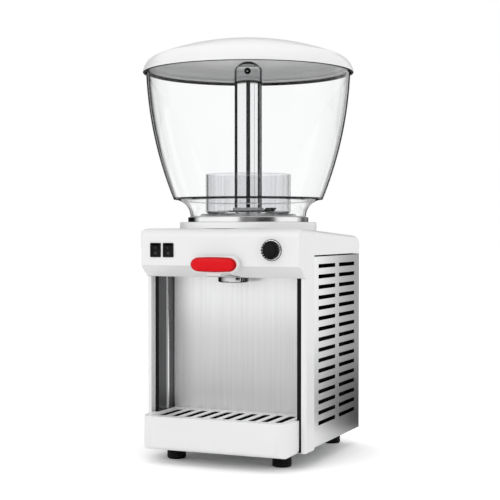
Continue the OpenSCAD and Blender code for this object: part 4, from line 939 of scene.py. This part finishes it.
def knob():
    """Knob with a flange, a ring of round ribs and a pointer on its face."""
    at = middle("knob")
    back, front = high("knob").y, low("knob").y + 1 * MM
    length = back - front
    flange = high("knob").x - at.x
    edge, step, flange_h, rim, taper = 1 * MM, 0.4 * MM, 1.6 * MM, 1.6 * MM, 1.5 * MM
    rib_in, rib_short, rib_lift = 1.1 * MM, 3 * MM, 0.3 * MM
    outline = [
        (0, 0), (flange - step, 0), (flange, step), (flange, flange_h),
        (flange - taper, flange_h + step), (flange - rim, flange_h + 2 * step),
        (KNOB_FACE_R + step, length - edge),
    ]
    outline += arc((KNOB_FACE_R - edge, length - edge), edge, 10, 90, 5)
    outline += [
        (KNOB_FACE_R - rim, length), (KNOB_FACE_R - rim - step, length - step), (0, length - step),
    ]
    bm = bmesh.new()
    lathe(bm, outline, sides=96)
    pointer_at = Matrix.Translation((0, -KNOB_FACE_R / 2 - 1 * MM, length))
    bmesh.ops.create_cube(bm, size=1, matrix=pointer_at @ Matrix.Diagonal((*KNOB_POINTER, 1)))
    mesh = finished("knob_moulding", bm, 40)
    mesh.materials.append(FINISHES["black_plastic"])
    mesh = run_tool(RIBS, mesh, count=KNOB_RIBS, radius=flange - rib_in, rib_radius=KNOB_RIB_R,
                    rib_length=length - rib_short, height=length / 2 + rib_lift,
                    material=mesh.materials[0])
    place("knob_moulding", face_front(mesh, (at.x, back, at.z)), "knob")


def knob_ring():
    """Polished ring behind the knob with a painted shadow line round its outer edge."""
    at = middle("knob_ring")
    back = high("knob_ring").y
    height = back - low("knob_ring").y
    radius = high("knob_ring").x - at.x
    bead, line_in = RING_BEAD, radius - RING_LINE
    line_low, line_high, sunk = 0.7 * MM, 0.8 * MM, 1 * MM
    crown = line_in - bead
    plate = height - sunk
    outline = [
        (RING_BORE_R, 0), (radius, 0), (radius, line_low), (line_in, line_high),
        (line_in, height - bead),
    ]
    outline += arc((crown, height - bead), bead, 0, 180, 10)[1:]
    outline += [(crown - bead, plate), (RING_BORE_R, plate)]
    mesh = turned("ring_turning", outline, sides=96)
    mesh.materials.append(FINISHES["polished_steel"])
    dark_from = radius - 0.6 * RING_LINE
    # Painted shadow: the outermost faces of the ring are made dark.
    paint_light_on_faces(mesh, lambda spot, normal: PAINTED_SHADE if math.hypot(spot.x, spot.y) > dark_from else None)
    place("ring_turning", face_front(mesh, (at.x, back, at.z)), "knob_ring")


def rocker_marks(bm):
    """A line on the upper half of a rocker and a ring on its lower half."""
    fronts = [face for face in bm.faces if face.normal.y < -0.7]
    fronts = sorted(fronts, key=lambda face: -face.calc_area())[:2]
    spots = [(face.calc_center_median(), face.normal.copy()) for face in fronts]
    for k, (at, out) in enumerate(sorted(spots, key=lambda spot: spot[0].z)):
        across = Vector((0, 0, 1)).cross(out).normalized() * -1
        turn = Matrix((across, out.cross(across), out)).transposed().to_4x4()
        faces_before, verts_before = set(bm.faces), set(bm.verts)
        if k == 0:
            inner = MARK_RING_R - MARK_RING_W
            outer = MARK_RING_R
            ring = [(inner, -MARK_H), (outer, -MARK_H), (outer, MARK_H), (inner, MARK_H)]
            lathe(bm, ring, sides=32)
        else:
            bmesh.ops.create_cube(bm, size=1, matrix=Matrix.Diagonal((*MARK_LINE, 1)))
        for vert in set(bm.verts) - verts_before:
            vert.co = turn @ vert.co + at
        for face in set(bm.faces) - faces_before:
            face.material_index = 1


feet()
spout()
grip()
knob()
knob_ring()
dressed("lever", 1.0 * MM, 40)
for side in ("left", "right"):
    dressed("switch_housing_" + side, 0.4 * MM, 40)
    dressed("switch_rocker_" + side, 0, 40, marks=rocker_marks)


# Cabinet, tray and panels

def liner():
    """Folded liner of the bay: lips, polished sides with a rolled groove, brushed back wall, with
    painted light: dark sides, bright groove and left lip, dark right lip and back face.
    """
    foot, top = low("bay_liner").z, high("bay_liner").z
    front, back = low("bay_liner").y, high("bay_liner").y
    lip = high("bay_liner").x
    wall = lip - LINER_FOLD
    t, bend = DISH_SHEET, LINER_BEND
    groove_y = front + LINER_GROOVE_AT * (back - front)
    deep, half = LINER_GROOVE_DEPTH, LINER_GROOVE_HALF
    hollow = (half ** 2 + deep ** 2) / (2 * deep)
    reach = math.degrees(math.asin(half / hollow))
    flat_from = half + 1 * MM

    def right_side(start, offset, bend_steps):
        """The right half of one face of the sheet, from the lip to the back wall."""
        points = start + arc((wall + bend, front + bend), bend - offset, -90, -180, bend_steps)
        points += [(wall + offset, groove_y - flat_from)]
        points += arc((wall + deep - hollow, groove_y), hollow + offset, -reach, reach, 10)
        points += [(wall + offset, groove_y + flat_from)]
        return points + arc((wall - bend, back - t - bend), bend + offset, 0, 90, 5)

    def both_sides(side):
        return side + [(-x, y) for x, y in reversed(side)]

    inside = both_sides(right_side([(lip, front), (lip - LINER_BRIGHT, front)], 0, 5))
    outside = both_sides(right_side([(lip, front + t)], t, 3))
    mesh = extruded("liner_sheet", inside + outside[::-1], foot, top)
    mesh.materials.append(LINER_STEEL)

    # Painted light: dark steel on the sides stands in for dark reflections, bright steel on the
    # groove and left lip for highlights, and black for shade on the right lip and the wall's back
    # face.
    def side_painted_light(at, normal):
        if abs(at.x) < wall - bend:
            return PAINTED_SHADE if normal.y > FACING else None
        if normal.y < -FACING and at.y < front + bend:
            return LINER_PAINTED_HIGHLIGHT if at.x < LINER_BRIGHT - lip else PAINTED_SHADE
        in_groove = abs(at.y - groove_y) < half and abs(at.x) < wall + deep + 0.3 * MM
        return LINER_PAINTED_HIGHLIGHT if in_groove and normal.x * at.x < 0 else LINER_PAINTED_DARK

    paint_light_on_faces(mesh, side_painted_light)
    place("liner_sheet", mesh, "bay_liner")


def tray_painted_shade(at, normal):
    """Painted shade: the basin under the grille is made dark."""
    corner, far = low("drip_grille"), high("drip_grille")
    inside = corner.x < at.x < far.x and corner.y < at.y < far.y
    between = low("drip_tray").z + TRAY_FLOOR_H < at.z < corner.z - GRILLE_GAP
    return PAINTED_SHADE if inside and between and normal.z > -FACING else None


def shell_painted_shade(at, normal):
    """Painted shade: the inside faces of the hollow head are made dark."""
    floor_z = low("head_floor").z
    if at.z < floor_z + HEAD_FLOOR_H:
        return None
    inward = normal.x * at.x < -0.05 and abs(normal.x) > FACING and abs(at.x) > HEAD_SIDE_X
    roof = normal.z < -FACING and at.z > floor_z + HEAD_ROOF_H
    front = normal.y > FACING and at.y < HEAD_FRONT_Y
    rear = normal.y < -FACING and at.y > HEAD_REAR_Y
    return PAINTED_SHADE if inward or roof or front or rear else None


def side_panel(node):
    """Side panel with painted shade on its inner faces and slot walls, and a painted shadow line
    along its top, front and rear edges.
    """
    top = high(node).z - PANEL_TOP_LINE
    front, rear = low(node).y + PANEL_SIDE_LINE, high(node).y - PANEL_SIDE_LINE

    def finish(at, normal):
        edge = at.z > top or at.y < front or at.y > rear
        return PAINTED_SHADE if normal.x * at.x < 0 or abs(normal.x) < FACING or edge else None

    cuts = [((0, 0, top), UPWARDS), ((0, front, 0), BACKWARDS), ((0, rear, 0), BACKWARDS)]
    dressed(node, 0, 40, PANEL_STEEL, cuts, finish)


def screws(node, facing):
    """Pan-head screws with a cross recess, one at each place of the group."""
    boxes = islands(nodes[node].data)
    size = boxes[0][1] - boxes[0][0]
    axis = max(range(3), key=lambda i: abs(facing[i]))
    radius = max(size[i] for i in range(3) if i != axis) / 2
    length, head, shank = size[axis], SCREW_HEAD_H, 0.45 * radius
    # The head's curve is in shares of its radius and height
    outline = [
        (0, -length), (shank, -length), (shank, -head), (radius, -head), (radius, -0.45 * head),
        (0.82 * radius, -0.16 * head), (0.5 * radius, 0), (0, 0),
    ]
    bm = bmesh.new()
    lathe(bm, outline, sides=32)
    sunk = Matrix.Translation((0, 0, -0.14 * head))
    bar = Matrix.Diagonal((1.1 * radius, 0.2 * radius, 0.3 * head, 1))
    for turn in (0, 90):
        slot = Matrix.Rotation(math.radians(turn), 4, "Z") @ bar
        bmesh.ops.create_cube(bm, size=1, matrix=sunk @ slot)
    mesh = finished("screw", bm, 40)
    mesh.transform(Vector(UPWARDS).rotation_difference(Vector(facing)).to_matrix().to_4x4())
    screw = bpy.data.objects.new("screw", mesh)
    places = []
    for corner, far in boxes:
        spot = (corner + far) / 2
        spot[axis] = far[axis] if facing[axis] > 0 else corner[axis]
        places.append(tuple(spot))
    points = bpy.data.meshes.new(node + "_places")
    points.from_pydata(places, [], [])
    made = run_tool(COPIES, points, piece=screw, material=FINISHES[slot_of(node)])
    bpy.data.objects.remove(screw)
    place(node + "_pan_heads", made, node)


dressed("body_shell", 0.5 * MM, 30, finish=shell_painted_shade)
dressed("drip_tray", 0.7 * MM, 30, finish=tray_painted_shade)
dressed("drip_grille", 0.5 * MM, 40, GRILLE_STEEL)
liner()
# Painted shade: the upward faces of the head floor, inside the head, are made dark.
dressed("head_floor", 0.3 * MM, 40, finish=lambda at, normal: PAINTED_SHADE if normal.z > FACING else None)
side_panel("side_panel_left")
side_panel("side_panel_right")
# Painted shade: every face of the rear panel except those facing the back is made dark.
dressed("rear_panel", 0.25 * MM, 40, finish=lambda at, normal: PAINTED_SHADE if normal.y < FACING else None)
# Painted shade: the upward faces of the base pan are made dark.
dressed("base_pan", 0, 35, finish=lambda at, normal: PAINTED_SHADE if normal.z > FACING else None)
screws("rear_screws", (0, 1, 0))
screws("foot_screws", (0, 0, -1))
for node in ("cord_gland", "tap_body", "tap_cap", "compressor", "fan_blade", "fan_motor",
             "fan_shroud"):
    dressed(node, 0, 35)


# Camera, light and floor

FLOOR_HALF = 20.0
GLOW_FROM, GLOW_TO = 0.12, 0.36
GLOW_WEAK, GLOW_FULL = 0.03, 0.5
FLAG_NEAR, FLAG_FAR = 2.6, 8.0
FLAG_HEIGHT_SHARE = 0.75


def stage_plane(name, corners, material):
    mesh = bpy.data.meshes.new(name)
    mesh.from_pydata(corners, [], [tuple(range(len(corners)))])
    mesh.materials.append(material)
    obj = bpy.data.objects.new(name, mesh)
    scene.collection.objects.link(obj)
    return obj


def camera():
    """The photograph's view."""
    data = bpy.data.cameras.new("photo_camera")
    data.lens = 88.85
    data.sensor_width = 36
    data.clip_end = 50
    obj = bpy.data.objects.new("photo_camera", data)
    obj.location = (0.8151, -1.9071, 0.379)
    obj.rotation_euler = Euler((math.radians(89.0), 0, math.radians(23.06)))
    scene.collection.objects.link(obj)
    scene.camera = obj


def world(level):
    """White for the eye, for metal and for glass, and a plain level of light on everything else."""
    light = bpy.data.worlds.new("studio")
    light.use_nodes = True
    scene.world = light
    tree = light.node_tree
    background = tree.nodes["Background"]
    background.inputs["Color"].default_value = (1, 1, 1, 1)
    path = tree.nodes.new("ShaderNodeLightPath").outputs
    seen = math_step(tree, "MAXIMUM", path["Is Camera Ray"], path["Is Glossy Ray"])
    seen = math_step(tree, "MAXIMUM", seen, path["Is Transmission Ray"])
    feed(tree, background.inputs["Strength"], range_step(tree, seen, 0, 1, level, 1.0))


def floor():
    """White floor with a glow, seen by the camera alone, that is weaker round the part."""
    material, tree, inputs = new_material("white_floor")
    set_values(inputs, Base_Color=(0.98, 0.98, 0.98, 1), Roughness=0.9, Specular_IOR_Level=0.0,
               Emission_Color=(1, 1, 1, 1))
    away = vector_step(tree, "LENGTH", object_place(tree))
    fade = range_step(tree, away, GLOW_FROM, GLOW_TO, GLOW_WEAK, GLOW_FULL)
    seen = tree.nodes.new("ShaderNodeLightPath").outputs["Is Camera Ray"]
    feed(tree, inputs["Emission Strength"], math_step(tree, "MULTIPLY", fade, seen))
    half = FLOOR_HALF
    corners = [(-half, -half, 0), (half, -half, 0), (half, half, 0), (-half, half, 0)]
    stage_plane("floor", corners, material)


def soft_lamp(name, place_at, aim, size, power):
    data = bpy.data.lights.new(name, "AREA")
    data.shape = "RECTANGLE"
    data.size, data.size_y = size
    data.energy = power
    obj = bpy.data.objects.new(name, data)
    obj.location = place_at
    obj.rotation_euler = (Vector(place_at) - Vector(aim)).to_track_quat("Z", "Y").to_euler()
    obj.visible_camera = False
    obj.visible_transmission = False
    scene.collection.objects.link(obj)


def flag_cloth():
    """Black cloth that shows only where a surface mirrors it, not straight through plastic."""
    material, tree, inputs = new_material("studio_flag")
    set_values(inputs, Base_Color=(0.01, 0.01, 0.01, 1), Roughness=1.0, Specular_IOR_Level=0.0)
    depth = tree.nodes.new("ShaderNodeLightPath").outputs["Glossy Depth"]
    clear = tree.nodes.new("ShaderNodeBsdfTransparent")
    mix = tree.nodes.new("ShaderNodeMixShader")
    feed(tree, mix.inputs[0], math_step(tree, "GREATER_THAN", depth, 0.5))
    feed(tree, mix.inputs[1], clear.outputs[0])
    feed(tree, mix.inputs[2], tree.nodes["Principled BSDF"].outputs[0])
    feed(tree, tree.nodes["Material Output"].inputs["Surface"], mix.outputs[0])
    return material


def flags():
    """Dark studio flags, upright or flat on the floor, that only polished surfaces show."""
    material = flag_cloth()

    def flag(name, corners, in_metal, through):
        card = stage_plane(name, corners, material)
        card.visible_camera = False
        card.visible_diffuse = False
        card.visible_shadow = False
        card.visible_glossy = in_metal
        card.visible_transmission = through

    def directions(turn):
        out = Vector((-math.sin(math.radians(turn)), math.cos(math.radians(turn)), 0))
        return out, Vector((out.y, -out.x, 0))

    # Turn and half angle in degrees, distance, and whether metal and clear plastic show it
    upright = (
        (0, 6.1, FLAG_NEAR, True, False), (23, 10.5, FLAG_NEAR, True, False),
        (46, 6.6, FLAG_NEAR, True, False), (67.5, 14, FLAG_NEAR, True, False),
        (76, 25, FLAG_FAR, False, True), (203, 16.5, FLAG_FAR, True, True),
        (236, 17, FLAG_NEAR, True, False), (256, 1.3, FLAG_FAR, True, True),
        (304, 15, FLAG_FAR, False, True), (338, 8, FLAG_FAR, False, True),
    )
    for k, (turn, half_angle, distance, in_metal, through) in enumerate(upright):
        out, side = directions(turn)
        foot = out * distance
        side *= distance * math.tan(math.radians(half_angle))
        height = Vector((0, 0, FLAG_HEIGHT_SHARE * distance))
        corners = [foot - side, foot + side, foot + side + height, foot - side + height]
        flag(f"flag_{k}", corners, in_metal, through)
    # Turn in degrees, half width, near end and far end
    flat = ((338, 0.2, 0.36, 1.7), (157, 0.13, 0.5, 1.5))
    lift = Vector((0, 0, 1 * MM))
    for k, (turn, half_width, near, far) in enumerate(flat):
        out, side = directions(turn)
        side *= half_width
        corners = [out * near - side, out * near + side, out * far + side, out * far - side]
        flag(f"floor_flag_{k}", [corner + lift for corner in corners], True, False)


scene.view_settings.view_transform = "Standard"
camera()
world(0.9)
floor()
flags()
soft_lamp("key", (-1.0, -3.3, 1.9), (0, 0, 0.3), (2.6, 2.0), 15)
soft_lamp("fill", (3.2, -1.6, 1.8), (0, 0, 0.3), (1.6, 2.0), 6)
soft_lamp("top", (0, -0.2, 3.2), (0, 0, 0.5), (3.0, 3.0), 12)
